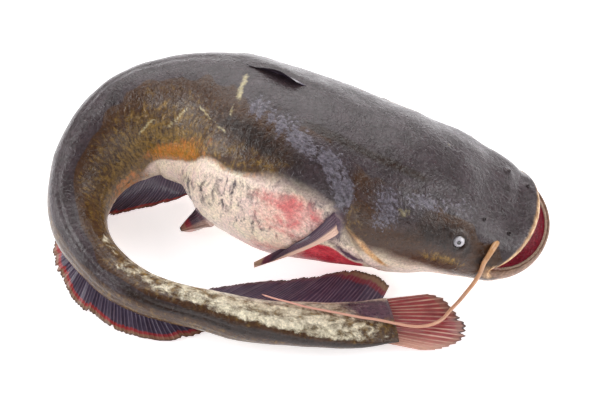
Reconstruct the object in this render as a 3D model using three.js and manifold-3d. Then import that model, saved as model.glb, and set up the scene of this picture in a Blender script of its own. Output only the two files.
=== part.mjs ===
// A wels catfish, whole and fresh, lying belly down with its body curled to its right.
// The body is one grown piece, lofted along a curved backbone. Fins, barbels and eyes are
// solids of their own that stop just short of the skin.
import * as THREE from 'three';
import { mergeVertices } from 'three/addons/utils/BufferGeometryUtils.js';
import Module from 'manifold-3d';

const wasm = await Module();
wasm.setup();

// ---------------------------------------------------------------- driving sizes, millimetres
// Cross sections from the root of the tail fin to the corners of the mouth:
// centre x, y, z, half width, height above centre, depth below it, roll of the back to the
// fish's left in degrees, and squareness of the lower half (2 is an ellipse).
const SECTIONS = [
  [58, -92, 8, 4, 18, 22, 84, 2.0],
  [29, -97, 11, 9, 20.5, 21, 78, 2.0],
  [-3, -98, 14, 12, 20, 20, 70, 2.0],
  [-34, -97, 16, 14, 16.5, 19, 62, 2.0],
  [-65, -91.5, 20, 14, 15, 18, 54, 2.0],
  [-97, -83.5, 22.5, 14, 17, 16, 46, 2.0],
  [-123, -69.5, 24, 15, 19, 17, 38, 2.0],
  [-141, -51, 26.5, 16, 22, 19, 30, 2.0],
  [-153, -31, 29, 18, 25, 22, 24, 2.0],
  [-156, -10, 33, 20, 29, 25, 21, 2.0],
  [-149, 13, 40, 23, 33, 29, 20, 2.0],
  [-134, 32, 48, 28, 38, 35, 19, 2.0],
  [-111, 43, 56, 33, 43, 40, 18, 2.0],
  [-83, 43, 59, 41, 49, 44, 20, 2.0],
  [-56, 36, 58, 55, 56, 55, 21, 2.1],
  [-28, 21.5, 55.5, 65, 59.5, 59, 21, 2.3],
  [5, 6.5, 54, 69.5, 57, 57, 18, 2.3],
  [38, -2, 50.5, 66.5, 51, 51, 13, 2.3],
  [66, -7, 46, 62, 46, 46, 8, 2.3],
  [91, -10, 41, 57.5, 39, 41, 5, 2.4],
  [114, -14, 34, 54.5, 29, 34, 4, 2.5],
  [134, -20, 27, 49.5, 21, 27, 3, 2.6],
];
const RINGS_PER_SECTION = 3;
const RING_POINTS = 32;
const TABLE_Z = 0;
const MERGE_DISTANCE = 1e-4;

// The mouth, measured from the last section along the head, up and down.
const MOUTH = {
  corner: { reach: 1, rise: 2, halfWidth: 46 },
  upperLip: { reach: 25, rise: 9, roundness: 1.2 },
  lowerJaw: { reach: 34, rise: -5, roundness: 1.15 },
  jawFullness: 0.6,
  cornerSetback: 5,
  lipShare: 0.7,
};
const SNOUT = { shares: [0.2, 0.4, 0.6, 0.8, 0.92, 1], slopeStep: 0.1, slopeReach: 0.4, rimReach: 0.55 };
// Rings that line the mouth: share of the rim's size, lift of roof, lift of floor, step back.
// Those above the lip share belong to the lips and keep the rim's height.
const MOUTH_LINING = [
  [0.95, -1.5, 1.2, 0],
  [0.86, 1.2, -0.6, 0],
  [0.64, 5, -5, -5],
  [0.38, 4.5, -6, -20],
  [0.14, 1.5, -2.5, -44],
];

const SKIN_GAP = 0.3;
const EYE = { section: 19.5, angle: 155, radius: 5, inset: 3.2, meridians: 20, parallels: 14 };
const LOWEST_FIN = 1.5;

// Anal fin: section along the belly line, then the tip of the ray that starts there.
const ANAL_FIN_RAYS = [
  [13.35, [-78, 26, 5]], [13, [-88, 22, 3]], [12.5, [-101, 16.5, 2]], [12, [-114, 12, 2]],
  [11.5, [-127, 8, 2]], [11, [-141, 4, 2]], [10.5, [-154, 2, 2]], [10, [-167, -1, 2]],
  [9.5, [-175, -11, 2]], [9, [-177, -25, 2]], [8.5, [-174, -39, 2]], [8, [-168, -53, 2]],
  [7, [-152, -77, 2]], [6, [-124, -96, 2]], [5.5, [-100, -102.5, 2]], [5.2, [-82, -101.5, 1.8]],
  [5.08, [-67, -95, 1.6]], [5, [-61, -84, 1.6]], [4.92, [-64, -71, 1.6]], [4.75, [-67, -61, 2]],
  [4.4, [-56, -58, 2.5]], [4, [-43, -56, 3]], [3, [-11, -52, 3]], [2, [17, -47.5, 3]],
  [1.5, [29, -44.5, 3.5]], [1, [41, -46.5, 3.5]], [0.5, [51, -51.5, 4]], [0.12, [57, -59, 4.5]],
];
const ANAL_FIN = { thickness: 1, rootDepth: 2, drop: 3.2, shares: [0, 0.12, 0.25, 0.45, 0.7, 1] };
// Tail fin: its root and its ragged round edge, from the belly side to the back side.
const TAIL_FIN_ROOT = [[52, -73, 7], [54, -82, 8], [55, -92, 8.5], [56, -101, 8.5], [57, -109, 7.5]];
const TAIL_FIN_EDGE = [
  [84, -66.5, 5], [92, -69, 5], [98, -77, 5], [103, -86, 5], [108, -93, 4.5],
  [106, -101, 4], [98, -107, 3.5], [88, -111, 3.5], [76, -112, 4],
];
const TAIL_FIN = { thickness: 1.4, rows: 17, shares: [0, 0.25, 0.5, 0.75, 1] };
// Back fin: small and folded flat, from its front end to its hind end. It is highest near the front.
const BACK_FIN = {
  from: 15.62, to: 14.8, lean: 7, lowest: 1.2, highest: 5.5, peakShift: 0.15,
  frontSweep: 0.18, hindSweep: 0.6, thickness: 1.2, rootDepth: 2, rows: 9, shares: [0, 0.35, 0.7, 1],
};
// Paired fins: the root's two ends on the skin, then points down the front and rear edges.
const PECTORAL_FIN_RIGHT = {
  root: [[16.79, 180], [16.66, 166]],
  front: [[6, -68, 60], [-10, -66, 47], [-26, -58.5, 29], [-35, -57, 22]],
  rear: [[3, -66.5, 67], [-11, -65.5, 54], [-25, -60.5, 33], [-35, -57.5, 27.5]],
};
const PECTORAL_FIN_LEFT = {
  root: [[16.85, -24], [16.6, -8]],
  front: [[22, 74, 19], [-2, 84, 8], [-14, 86, 4]],
  rear: [[16, 82, 36], [-2, 91, 20], [-13, 90, 7]],
};
const PELVIC_FIN_RIGHT = {
  root: [[14.85, 224], [14.42, 216]],
  front: [[-69, -19, 18], [-80, -14, 7], [-88, -10.5, 3]],
  rear: [[-77, -8, 22], [-84, -5, 10], [-89, -8, 4]],
};
const PELVIC_FIN_LEFT = {
  root: [[14.8, 318], [14.4, 325]],
  front: [[-42, 62, 3.5], [-60, 78, 2]],
  rear: [[-50, 72, 7], [-60, 80, 3.5], [-63, 80, 2.5]],
};
const PAIRED_FIN = { thickness: 1.6, rootDepth: 3, rootRise: 1, rows: 11, columns: 6 };
// Barbels: route of the centre line from the root to the tip, and the radius at each end.
const BARBELS = {
  maxillary_barbel_right: {
    route: [
      [128, -49.5, 42], [123.6, -59, 45.6], [120, -64.2, 43], [117.4, -66.9, 39.5], [115.4, -68.8, 31],
      [112, -69.6, 21], [107.8, -70.8, 12.5], [103, -74.5, 7.5], [97, -82.5, 9], [91, -91, 10.5],
      [84, -96.5, 12], [76, -99, 12.8], [68, -99, 13.4],
      [59, -98, 14.8], [47, -97.6, 18.4], [36, -97.8, 21.4], [24.5, -97, 24], [12, -95.5, 26],
      [0, -93.5, 27.2], [-11, -90.5, 28.2], [-21, -87.5, 28.4], [-29, -84, 28],
    ],
    radii: [1.8, 0.6],
  },
  maxillary_barbel_left: {
    route: [
      [145.8, 18.5, 33], [146.4, 24, 26], [143.5, 30, 16.5], [137, 37, 8], [126, 44, 3.6], [104, 52, 2.2],
      [72, 68, 2], [42, 79, 2], [10, 90, 2], [-20, 97, 1.8], [-48, 97, 1.6],
    ],
    radii: [1.8, 0.6],
  },
  mandibular_barbel_inner_right: {
    route: [
      [149.5, -31, 9], [153, -31.5, 4.5], [156, -31, 2], [158.5, -28.5, 1.6], [160.3, -24.5, 1.5],
      [160.8, -20, 1.4],
    ],
    radii: [1.1, 0.5],
  },
  mandibular_barbel_inner_left: {
    route: [
      [151, -21, 9], [155, -19.5, 4.5], [159.5, -16.5, 2], [163, -11, 1.6], [165, -4, 1.6], [165, 2, 1.4],
    ],
    radii: [1.1, 0.5],
  },
  mandibular_barbel_outer_right: {
    route: [
      [137, -41.5, 9], [141, -42, 4.5], [145, -40.5, 2], [148.5, -37.5, 1.6], [151, -35, 1.4],
    ],
    radii: [1.2, 0.5],
  },
  mandibular_barbel_outer_left: {
    route: [
      [149, 1, 9], [152.5, 5, 4.5], [155, 11, 2.2], [155.5, 18, 1.8], [152.5, 26, 1.6], [146, 32, 1.4],
    ],
    radii: [1.2, 0.5],
  },
};
const BARBEL_STEPS = 40;
const BARBEL_SIDES = 8;

const FINISHES = {
  skin: { color: 0x4d4636, roughness: 0.3, metalness: 0 },
  webbing: { color: 0x463a4c, roughness: 0.35, metalness: 0 },
  redFin: { color: 0x8c4440, roughness: 0.35, metalness: 0 },
  barbel: { color: 0xc28a68, roughness: 0.4, metalness: 0 },
  eye: { color: 0xc9c9cf, roughness: 0.1, metalness: 0 },
};

// ---------------------------------------------------------------- the backbone and the skin
const LAST = SECTIONS.length - 1;
const CENTRES = SECTIONS.map((s) => new THREE.Vector3(s[0], s[1], s[2]));

// Smooth curve through values at whole steps (uniform Catmull-Rom, straight past both ends).
function smoothThrough(values, u) {
  const last = values.length - 1;
  const i = Math.min(Math.max(Math.floor(u), 0), last - 1);
  const t = u - i;
  const at = (k) => {
    if (k < 0) return 2 * values[0] - values[1];
    if (k > last) return 2 * values[last] - values[last - 1];
    return values[k];
  };
  const [a, b, c, d] = [at(i - 1), at(i), at(i + 1), at(i + 2)];
  const cubic = -a + 3 * b - 3 * c + d;
  const square = 2 * a - 5 * b + 4 * c - d;
  return 0.5 * (2 * b + (c - a) * t + square * t * t + cubic * t * t * t);
}

function column(k, u) {
  return smoothThrough(SECTIONS.map((s) => s[k]), u);
}

function smoothPoint(points, u) {
  const axes = ['x', 'y', 'z'];
  const [x, y, z] = axes.map((axis) => smoothThrough(points.map((p) => p[axis]), u));
  return new THREE.Vector3(x, y, z);
}

// Frame at a place on the backbone: forward, left and the rolled direction of the back.
function backboneFrame(u) {
  const step = 1e-3;
  const centre = smoothPoint(CENTRES, u);
  const ahead = smoothPoint(CENTRES, Math.min(u + step, LAST));
  const behind = smoothPoint(CENTRES, Math.max(u - step, 0));
  const forward = ahead.sub(behind).normalize();
  const level = new THREE.Vector3(0, 0, 1).cross(forward).normalize();
  const upright = forward.clone().cross(level);
  const roll = THREE.MathUtils.degToRad(column(6, u));
  const back = upright.clone().multiplyScalar(Math.cos(roll)).addScaledVector(level, Math.sin(roll));
  const left = level.multiplyScalar(Math.cos(roll)).addScaledVector(upright, -Math.sin(roll));
  return { centre, forward, left, back };
}

function signedPower(x, power) {
  return Math.sign(x) * Math.abs(x) ** power;
}

// Point of the skin at place u along the body and angle a round it: 0 left, 90 back, 270 belly.
function skin(u, degrees, offset = 0) {
  const { centre, left, back } = backboneFrame(u);
  const a = THREE.MathUtils.degToRad(degrees);
  const upper = Math.sin(a) >= 0;
  const power = upper ? 1 : 2 / column(7, u);
  const across = (column(3, u) + offset) * signedPower(Math.cos(a), power);
  const height = ((upper ? column(4, u) : column(5, u)) + offset) * signedPower(Math.sin(a), power);
  return centre.addScaledVector(left, across).addScaledVector(back, height);
}

const RING_ANGLES = Array.from({ length: RING_POINTS }, (_, j) => (360 * j) / RING_POINTS);

// Level frame at the mouth, in which the lips and the lining of the mouth are measured.
function mouthFrame() {
  const { centre, forward } = backboneFrame(LAST);
  const ahead = new THREE.Vector3(forward.x, forward.y, 0).normalize();
  const left = new THREE.Vector3(0, 0, 1).cross(ahead);
  return { centre, ahead, left };
}

function mouthPoint(ahead, left, up) {
  const frame = mouthFrame();
  const point = frame.centre.clone().addScaledVector(frame.ahead, ahead);
  point.addScaledVector(frame.left, left);
  point.z += up;
  return point;
}

// The rim of the mouth: an arc for the upper lip and a longer one for the lower jaw.
function lipRim(degrees) {
  const a = THREE.MathUtils.degToRad(degrees);
  const share = Math.abs(Math.sin(a));
  const { corner } = MOUTH;
  const lip = Math.sin(a) >= 0 ? MOUTH.upperLip : MOUTH.lowerJaw;
  const lift = Math.sin(a) >= 0 ? share : share ** MOUTH.jawFullness;
  return {
    ahead: corner.reach + (lip.reach - corner.reach) * share ** lip.roundness,
    left: corner.halfWidth * Math.cos(a),
    up: corner.rise + (lip.rise - corner.rise) * lift,
  };
}

// One ring of the snout, a share of the way from the last section to the rim. Each point runs on
// from the slope of the trunk and turns to meet the rim square on.
function snoutRing(share, offset) {
  const { ahead } = mouthFrame();
  return RING_ANGLES.map((degrees) => {
    const start = skin(LAST, degrees, offset);
    const slope = start.clone().sub(skin(LAST - SNOUT.slopeStep, degrees, offset)).normalize();
    const rim = lipRim(degrees);
    const end = mouthPoint(rim.ahead, rim.left, rim.up);
    const away = start.clone().sub(end);
    const leave = start.clone().addScaledVector(slope, SNOUT.slopeReach * away.length());
    away.addScaledVector(ahead, -away.dot(ahead));
    const arrive = end.clone().addScaledVector(away, SNOUT.rimReach);
    return new THREE.CubicBezierCurve3(start, leave, arrive, end).getPoint(share);
  });
}

// One ring of the mouth's lining, a shrunken and set back copy of the rim.
function liningRing([share, roof, floor, back]) {
  const root = MOUTH.corner.reach - MOUTH.cornerSetback;
  const flatten = share > MOUTH.lipShare ? 1 : share;
  return RING_ANGLES.map((degrees) => {
    const rim = lipRim(degrees);
    const height = Math.sin(THREE.MathUtils.degToRad(degrees));
    const lift = (height >= 0 ? roof : floor) * Math.sqrt(Math.abs(height));
    const ahead = root + (rim.ahead - root) * share + back;
    const up = MOUTH.corner.rise + (rim.up - MOUTH.corner.rise) * flatten + lift;
    return mouthPoint(ahead, rim.left * share, up);
  });
}

// A closed skin over a row of rings, with a fan of triangles over each end. Rings run
// anticlockwise as seen from the far end, and may fold back inside, as the lips do.
function loftGeometry(rings) {
  const size = rings[0].length;
  const ends = [rings[0], rings[rings.length - 1]].map((ring) => {
    const sum = ring.reduce((total, p) => total.add(p), new THREE.Vector3());
    return sum.divideScalar(size);
  });
  const positions = [...rings.flat(), ...ends].flatMap((p) => [p.x, p.y, p.z]);
  const index = [];
  const lastRow = (rings.length - 1) * size;
  const startCentre = rings.length * size;
  for (let j = 0; j < size; j++) {
    const next = (j + 1) % size;
    for (let row = 0; row < lastRow; row += size) {
      index.push(row + j, row + next, row + size + next);
      index.push(row + j, row + size + next, row + size + j);
    }
    index.push(startCentre, next, j);
    index.push(startCentre + 1, lastRow + j, lastRow + next);
  }
  const geometry = new THREE.BufferGeometry();
  geometry.setAttribute('position', new THREE.Float32BufferAttribute(positions, 3));
  geometry.setIndex(index);
  return geometry;
}

// The whole skin as one closed loft. An offset gives the larger copy that trims the fins.
function bodyGeometry(offset = 0) {
  const rings = [];
  for (let k = 0; k <= LAST * RINGS_PER_SECTION; k++) {
    const u = k / RINGS_PER_SECTION;
    rings.push(RING_ANGLES.map((degrees) => skin(u, degrees, offset)));
  }
  rings.push(...SNOUT.shares.map((share) => snoutRing(share, offset)));
  if (offset > 0) {
    const behind = backboneFrame(0).forward.multiplyScalar(-offset);
    rings.unshift(rings[0].map((p) => p.clone().add(behind)));
    const ahead = mouthFrame().ahead.multiplyScalar(offset);
    rings[rings.length - 1].forEach((p) => p.add(ahead));
  } else {
    rings.push(...MOUTH_LINING.map(liningRing));
  }
  const floor = offset > 0 ? TABLE_Z - offset : TABLE_Z;
  rings.forEach((ring) => ring.forEach((p) => p.setZ(Math.max(p.z, floor))));
  return loftGeometry(rings);
}

// ---------------------------------------------------------------- solids
function toSolid(geometry) {
  const bare = new THREE.BufferGeometry();
  bare.setAttribute('position', geometry.attributes.position);
  bare.setIndex(geometry.index);
  const merged = mergeVertices(bare, MERGE_DISTANCE);
  const vertProperties = new Float32Array(merged.attributes.position.array);
  const triVerts = new Uint32Array(merged.index.array);
  return new wasm.Manifold(new wasm.Mesh({ numProp: 3, vertProperties, triVerts }));
}

function toGeometry(solid) {
  const mesh = solid.getMesh();
  const geometry = new THREE.BufferGeometry();
  const position = new THREE.BufferAttribute(new Float32Array(mesh.vertProperties), 3);
  geometry.setAttribute('position', position);
  geometry.setIndex(new THREE.BufferAttribute(new Uint32Array(mesh.triVerts), 1));
  const flat = geometry.toNonIndexed();
  flat.computeVertexNormals();
  return flat;
}

// A thin closed plate about a grid of points: rows run along the fin, columns out to its edge.
function plateGeometry(grid, thickness) {
  const rows = grid.length;
  const columns = grid[0].length;
  const positions = [];
  const normalAt = (i, j) => {
    const along = grid[Math.min(i + 1, rows - 1)][j].clone().sub(grid[Math.max(i - 1, 0)][j]);
    const out = grid[i][Math.min(j + 1, columns - 1)].clone().sub(grid[i][Math.max(j - 1, 0)]);
    return along.cross(out).normalize();
  };
  for (const side of [0.5, -0.5]) {
    for (let i = 0; i < rows; i++) {
      for (let j = 0; j < columns; j++) {
        const p = grid[i][j].clone().addScaledVector(normalAt(i, j), side * thickness);
        positions.push(p.x, p.y, p.z);
      }
    }
  }
  const at = (side, i, j) => (side * rows + i) * columns + j;
  const index = [];
  const quad = (a, b, c, d) => index.push(a, b, c, a, c, d);
  for (let i = 0; i < rows - 1; i++) {
    for (let j = 0; j < columns - 1; j++) {
      quad(at(0, i, j), at(0, i + 1, j), at(0, i + 1, j + 1), at(0, i, j + 1));
      quad(at(1, i, j), at(1, i, j + 1), at(1, i + 1, j + 1), at(1, i + 1, j));
    }
  }
  for (let i = 0; i < rows - 1; i++) {
    quad(at(0, i, 0), at(1, i, 0), at(1, i + 1, 0), at(0, i + 1, 0));
    const j = columns - 1;
    quad(at(0, i, j), at(0, i + 1, j), at(1, i + 1, j), at(1, i, j));
  }
  for (let j = 0; j < columns - 1; j++) {
    quad(at(0, 0, j), at(0, 0, j + 1), at(1, 0, j + 1), at(1, 0, j));
    const i = rows - 1;
    quad(at(0, i, j), at(1, i, j), at(1, i, j + 1), at(0, i, j + 1));
  }
  const geometry = new THREE.BufferGeometry();
  geometry.setAttribute('position', new THREE.Float32BufferAttribute(positions, 3));
  geometry.setIndex(index);
  return geometry;
}

const skinTrim = toSolid(bodyGeometry(SKIN_GAP));

// A plate cut back to a small gap from the skin; of the pieces left, the largest is the fin.
function trimmedPlate(grid, thickness) {
  const pieces = toSolid(plateGeometry(grid, thickness)).subtract(skinTrim).decompose();
  pieces.sort((a, b) => b.volume() - a.volume());
  return toGeometry(pieces[0]);
}

const vector = (p) => new THREE.Vector3(...p);

// ---------------------------------------------------------------- the fins
// Rays run from inside the belly line to their tips, dropping quickly to lie on the table.
function analFin() {
  const { thickness, rootDepth, drop, shares } = ANAL_FIN;
  const stretches = 2 * (ANAL_FIN_RAYS.length - 1);
  const places = ANAL_FIN_RAYS.map((ray) => ray[0]);
  const tips = ANAL_FIN_RAYS.map((ray) => vector(ray[1]));
  const grid = [];
  for (let k = 0; k <= stretches; k++) {
    const along = k / 2;
    const root = skin(smoothThrough(places, along), 270, -rootDepth);
    const tip = smoothPoint(tips, along);
    grid.push(shares.map((share) => {
      const p = root.clone().lerp(tip, share);
      p.z = tip.z + (root.z - tip.z) * (1 - share) ** drop;
      return p;
    }));
  }
  return trimmedPlate(grid, thickness);
}

function tailFin() {
  const { thickness, rows, shares } = TAIL_FIN;
  const roots = TAIL_FIN_ROOT.map(vector);
  const edge = TAIL_FIN_EDGE.map(vector);
  const grid = [];
  for (let k = 0; k < rows; k++) {
    const s = k / (rows - 1);
    const root = smoothPoint(roots, s * (roots.length - 1));
    const tip = smoothPoint(edge, s * (edge.length - 1));
    grid.push(shares.map((share) => root.clone().lerp(tip, share)));
  }
  return trimmedPlate(grid, thickness);
}

function backFin() {
  const fin = BACK_FIN;
  const grid = [];
  for (let k = 0; k < fin.rows; k++) {
    const s = k / (fin.rows - 1);
    const u = THREE.MathUtils.lerp(fin.from, fin.to, s);
    const sweep = THREE.MathUtils.lerp(fin.frontSweep, fin.hindSweep, s);
    const arch = Math.sin(Math.PI * Math.min(s + fin.peakShift, 1));
    const root = skin(u, 90, -fin.rootDepth);
    const tip = skin(u - sweep, 90 + fin.lean, THREE.MathUtils.lerp(fin.lowest, fin.highest, arch));
    grid.push(fin.shares.map((share) => root.clone().lerp(tip, share)));
  }
  return trimmedPlate(grid, fin.thickness);
}

// A paired fin is ruled between its front edge and its rear edge, both starting at the skin.
function pairedFin(fin) {
  const { thickness, rootDepth, rootRise, rows, columns } = PAIRED_FIN;
  const sides = [fin.front, fin.rear].map((edge, k) => {
    const [u, degrees] = fin.root[k];
    return [skin(u, degrees, -rootDepth), skin(u, degrees, rootRise), ...edge.map(vector)];
  });
  const grid = [];
  for (let i = 0; i < columns; i++) {
    const across = i / (columns - 1);
    const line = [];
    for (let k = 0; k < rows; k++) {
      const s = k / (rows - 1);
      const [front, rear] = sides.map((points) => smoothPoint(points, s * (points.length - 1)));
      const p = front.lerp(rear, across);
      line.push(p.setZ(Math.max(p.z, LOWEST_FIN)));
    }
    grid.push(line);
  }
  return trimmedPlate(grid, thickness);
}

// ---------------------------------------------------------------- barbels and eyes
function barbel({ route, radii }) {
  const curve = new THREE.CatmullRomCurve3(route.map(vector));
  const rings = [];
  for (let k = 0; k <= BARBEL_STEPS; k++) {
    const share = k / BARBEL_STEPS;
    const centre = curve.getPointAt(share);
    const along = curve.getTangentAt(share);
    const side = new THREE.Vector3(0, 0, 1).cross(along).normalize();
    const top = along.clone().cross(side);
    const radius = THREE.MathUtils.lerp(radii[0], radii[1], share);
    const ring = [];
    for (let j = 0; j < BARBEL_SIDES; j++) {
      const a = (2 * Math.PI * j) / BARBEL_SIDES;
      const p = centre.clone().addScaledVector(side, radius * Math.cos(a));
      ring.push(p.addScaledVector(top, radius * Math.sin(a)));
    }
    rings.push(ring);
  }
  const pieces = toSolid(loftGeometry(rings)).subtract(skinTrim).decompose();
  pieces.sort((a, b) => b.volume() - a.volume());
  return toGeometry(pieces[0]);
}

function eyeball(degrees, radius) {
  const centre = skin(EYE.section, degrees, -EYE.inset);
  const sphere = new THREE.SphereGeometry(radius, EYE.meridians, EYE.parallels);
  return sphere.translate(centre.x, centre.y, centre.z);
}

const eyeAngles = { eye_right: EYE.angle, eye_left: 180 - EYE.angle };

function body() {
  let solid = toSolid(bodyGeometry());
  for (const degrees of Object.values(eyeAngles)) {
    solid = solid.subtract(toSolid(eyeball(degrees, EYE.radius + SKIN_GAP)));
  }
  return toGeometry(solid);
}

// ---------------------------------------------------------------- assembly
const fish = new THREE.Group();

function addPiece(name, geometry, finish) {
  const mesh = new THREE.Mesh(geometry, new THREE.MeshStandardMaterial(FINISHES[finish]));
  mesh.name = name;
  fish.add(mesh);
}

addPiece('body', body(), 'skin');
addPiece('dorsal_fin', backFin(), 'skin');
addPiece('anal_fin', analFin(), 'webbing');
addPiece('caudal_fin', tailFin(), 'redFin');
addPiece('pectoral_fin_right', pairedFin(PECTORAL_FIN_RIGHT), 'redFin');
addPiece('pectoral_fin_left', pairedFin(PECTORAL_FIN_LEFT), 'redFin');
addPiece('pelvic_fin_right', pairedFin(PELVIC_FIN_RIGHT), 'redFin');
addPiece('pelvic_fin_left', pairedFin(PELVIC_FIN_LEFT), 'redFin');
for (const [name, degrees] of Object.entries(eyeAngles)) {
  addPiece(name, eyeball(degrees, EYE.radius), 'eye');
}
for (const [name, shape] of Object.entries(BARBELS)) {
  addPiece(name, barbel(shape), 'barbel');
}

// The origin is the middle of the underside of the box that holds the fish.
const box = new THREE.Box3().setFromObject(fish);
const middle = box.getCenter(new THREE.Vector3());
fish.position.set(-middle.x, -middle.y, -box.min.z);

export default fish;
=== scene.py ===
import functools
import math

import bpy
import numpy as np
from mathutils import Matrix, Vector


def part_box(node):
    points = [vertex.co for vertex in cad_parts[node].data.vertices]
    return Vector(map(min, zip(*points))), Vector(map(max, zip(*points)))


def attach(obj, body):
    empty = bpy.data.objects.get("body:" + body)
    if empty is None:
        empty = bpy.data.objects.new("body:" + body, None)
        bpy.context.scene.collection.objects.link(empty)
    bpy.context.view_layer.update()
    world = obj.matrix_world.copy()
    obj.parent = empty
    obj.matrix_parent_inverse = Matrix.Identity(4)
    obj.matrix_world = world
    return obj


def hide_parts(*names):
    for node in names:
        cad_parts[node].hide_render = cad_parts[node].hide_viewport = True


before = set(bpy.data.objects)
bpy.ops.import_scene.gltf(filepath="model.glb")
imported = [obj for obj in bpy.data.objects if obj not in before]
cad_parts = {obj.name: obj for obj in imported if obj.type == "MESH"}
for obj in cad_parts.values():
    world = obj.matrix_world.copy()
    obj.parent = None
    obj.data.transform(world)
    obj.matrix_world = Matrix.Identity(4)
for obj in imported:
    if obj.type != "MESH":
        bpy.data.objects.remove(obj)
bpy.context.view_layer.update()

print("frame loaded")

# A fresh wels catfish, lying on its belly and curled to its right.
# Shapes are worked out in millimetres around the backbone, then moved onto the frame.

# Sections from the root of the tail fin to the corners of the mouth: centre x, y, z, half width,
# height above centre, depth below it, roll of the back to the fish's left, squareness of the belly
bodySections = np.array([
    [58, -92, 8, 4, 18, 22, 84, 2.0], [29, -97, 11, 9, 20.5, 21, 78, 2.0],
    [-3, -98, 14, 12, 20, 20, 70, 2.0], [-34, -97, 16, 14, 16.5, 19, 62, 2.0],
    [-65, -91.5, 20, 14, 15, 18, 54, 2.0], [-97, -83.5, 22.5, 14, 17, 16, 46, 2.0],
    [-123, -69.5, 24, 15, 19, 17, 38, 2.0], [-141, -51, 26.5, 16, 22, 19, 30, 2.0],
    [-153, -31, 29, 18, 25, 22, 24, 2.0], [-156, -10, 33, 20, 29, 25, 21, 2.0],
    [-149, 13, 40, 23, 33, 29, 20, 2.0], [-134, 32, 48, 28, 38, 35, 19, 2.0],
    [-111, 43, 56, 33, 43, 40, 18, 2.0], [-83, 43, 59, 41, 49, 44, 20, 2.0],
    [-56, 36, 58, 55, 56, 55, 21, 2.1], [-28, 21.5, 55.5, 65, 59.5, 59, 21, 2.3],
    [5, 6.5, 54, 69.5, 57, 57, 18, 2.3], [38, -2, 50.5, 66.5, 51, 51, 13, 2.3],
    [66, -7, 46, 62, 46, 46, 8, 2.3], [91, -10, 41, 57.5, 39, 41, 5, 2.4],
    [114, -14, 34, 54.5, 29, 34, 4, 2.5], [134, -20, 27, 49.5, 21, 27, 3, 2.6],
])
lastSection = len(bodySections) - 1

mouth = {
    "cornerReach": 1, "cornerRise": 2, "halfWidth": 46,
    "upperReach": 25, "upperRise": 9, "upperRoundness": 1.2,
    "jawReach": 34, "jawRise": -5, "jawRoundness": 1.15, "jawFullness": 0.6,
    "setback": 5, "slopeReach": 0.4, "rimReach": 0.55,
}


# ---- helpers


def hexColour(text):
    # sRGB hex to linear light: a straight foot below 0.04045, a 2.4 power above it
    srgb = np.array([int(text[i:i + 2], 16) for i in (0, 2, 4)]) / 255
    linear = np.where(srgb <= 0.04045, srgb / 12.92, ((srgb + 0.055) / 1.055) ** 2.4)
    return (*linear.tolist(), 1.0)


def feed(tree, node, links):
    # joins the node's sockets to other sockets, or to the first live output of other nodes
    for key, source in links.items():
        if hasattr(source, "outputs"):
            source = next(output for output in source.outputs if output.enabled)
        tree.links.new(source, node.inputs[key])


def addNode(tree, kind, settings=None, links=None):
    # a node with its own values; a hex string on a numbered socket is a colour
    node = tree.nodes.new("ShaderNode" + kind)
    for key, value in (settings or {}).items():
        if isinstance(key, int) or key in node.inputs:
            node.inputs[key].default_value = hexColour(value) if isinstance(value, str) else value
        else:
            setattr(node, key, value)
    feed(tree, node, links or {})
    return node


def perMm(size):
    # a noise's scale, so that one of its cells is this many millimetres wide
    return 1000 / size


def smoothStep(x, low, high):
    # 0 below low, 1 above high, with the cubic 3t^2 - 2t^3 between them
    t = np.clip((x - low) / (high - low), 0, 1)
    return t * t * (3 - 2 * t)


def hump(x, width):
    # a bell: exp of minus the square of x over its width
    return np.exp(-(x / width) ** 2)


def signedPower(x, power):
    return np.sign(x) * np.abs(x) ** power


def softNoise(points, size, seed, waves=14):
    # sum of sine waves in random directions, with wavelengths of about the given size, about -1 to 1
    random = np.random.default_rng(seed)
    directions = random.normal(size=(waves, 3))
    directions /= np.linalg.norm(directions, axis=1, keepdims=True)
    lengths = size * random.uniform(0.7, 1.8, waves)
    phases = random.uniform(0, 2 * math.pi, waves)
    total = 0
    for direction, length, phase in zip(directions, lengths, phases):
        total = total + np.sin(points @ direction * (2 * math.pi / length) + phase)
    return total / math.sqrt(waves)


def smoothThrough(values, u):
    # uniform Catmull-Rom curve through rows of values at whole steps, straight past both ends
    values = np.asarray(values, float)
    u = np.asarray(u, float)
    i = np.clip(np.floor(u).astype(int), 0, len(values) - 2)
    t = (u - i).reshape(u.shape + (1,) * (values.ndim - 1))
    before, after = 2 * values[0] - values[1], 2 * values[-1] - values[-2]
    padded = np.concatenate([[before], values, [after]])
    a, b, c, d = (padded[i + k] for k in range(4))
    cubic = -a + 3 * b - 3 * c + d
    square = 2 * a - 5 * b + 4 * c - d
    return 0.5 * (2 * b + (c - a) * t + square * t ** 2 + cubic * t ** 3)


def unit(vectors):
    return vectors / np.linalg.norm(vectors, axis=-1, keepdims=True)


def gridNormals(points, closed):
    # cross product of the step across and the step along, which points out of a surface whose
    # columns run left, back, right and belly while its rows run forward
    if closed:
        across = np.roll(points, -1, axis=1) - np.roll(points, 1, axis=1)
    else:
        across = np.gradient(points, axis=1)
    along = np.gradient(points, axis=0)
    normals = np.cross(across, along)
    return normals / np.maximum(np.linalg.norm(normals, axis=-1, keepdims=True), 1e-9)


# ---- the skin's own formulas, the same as the frame's


def backboneFrame(u):
    # centre on the backbone, forward along it, and left and back turned by the section's roll
    u = np.asarray(u, float)
    step = 1e-3
    ahead = smoothThrough(bodySections[:, :3], np.minimum(u + step, lastSection))
    behind = smoothThrough(bodySections[:, :3], np.maximum(u - step, 0))
    forward = unit(ahead - behind)
    level = unit(np.cross(np.array([0, 0, 1.0]), forward))
    upright = np.cross(forward, level)
    roll = np.radians(smoothThrough(bodySections[:, 6], u))[..., None]
    back = np.cos(roll) * upright + np.sin(roll) * level
    left = np.cos(roll) * level - np.sin(roll) * upright
    return smoothThrough(bodySections[:, :3], u), forward, left, back


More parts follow.
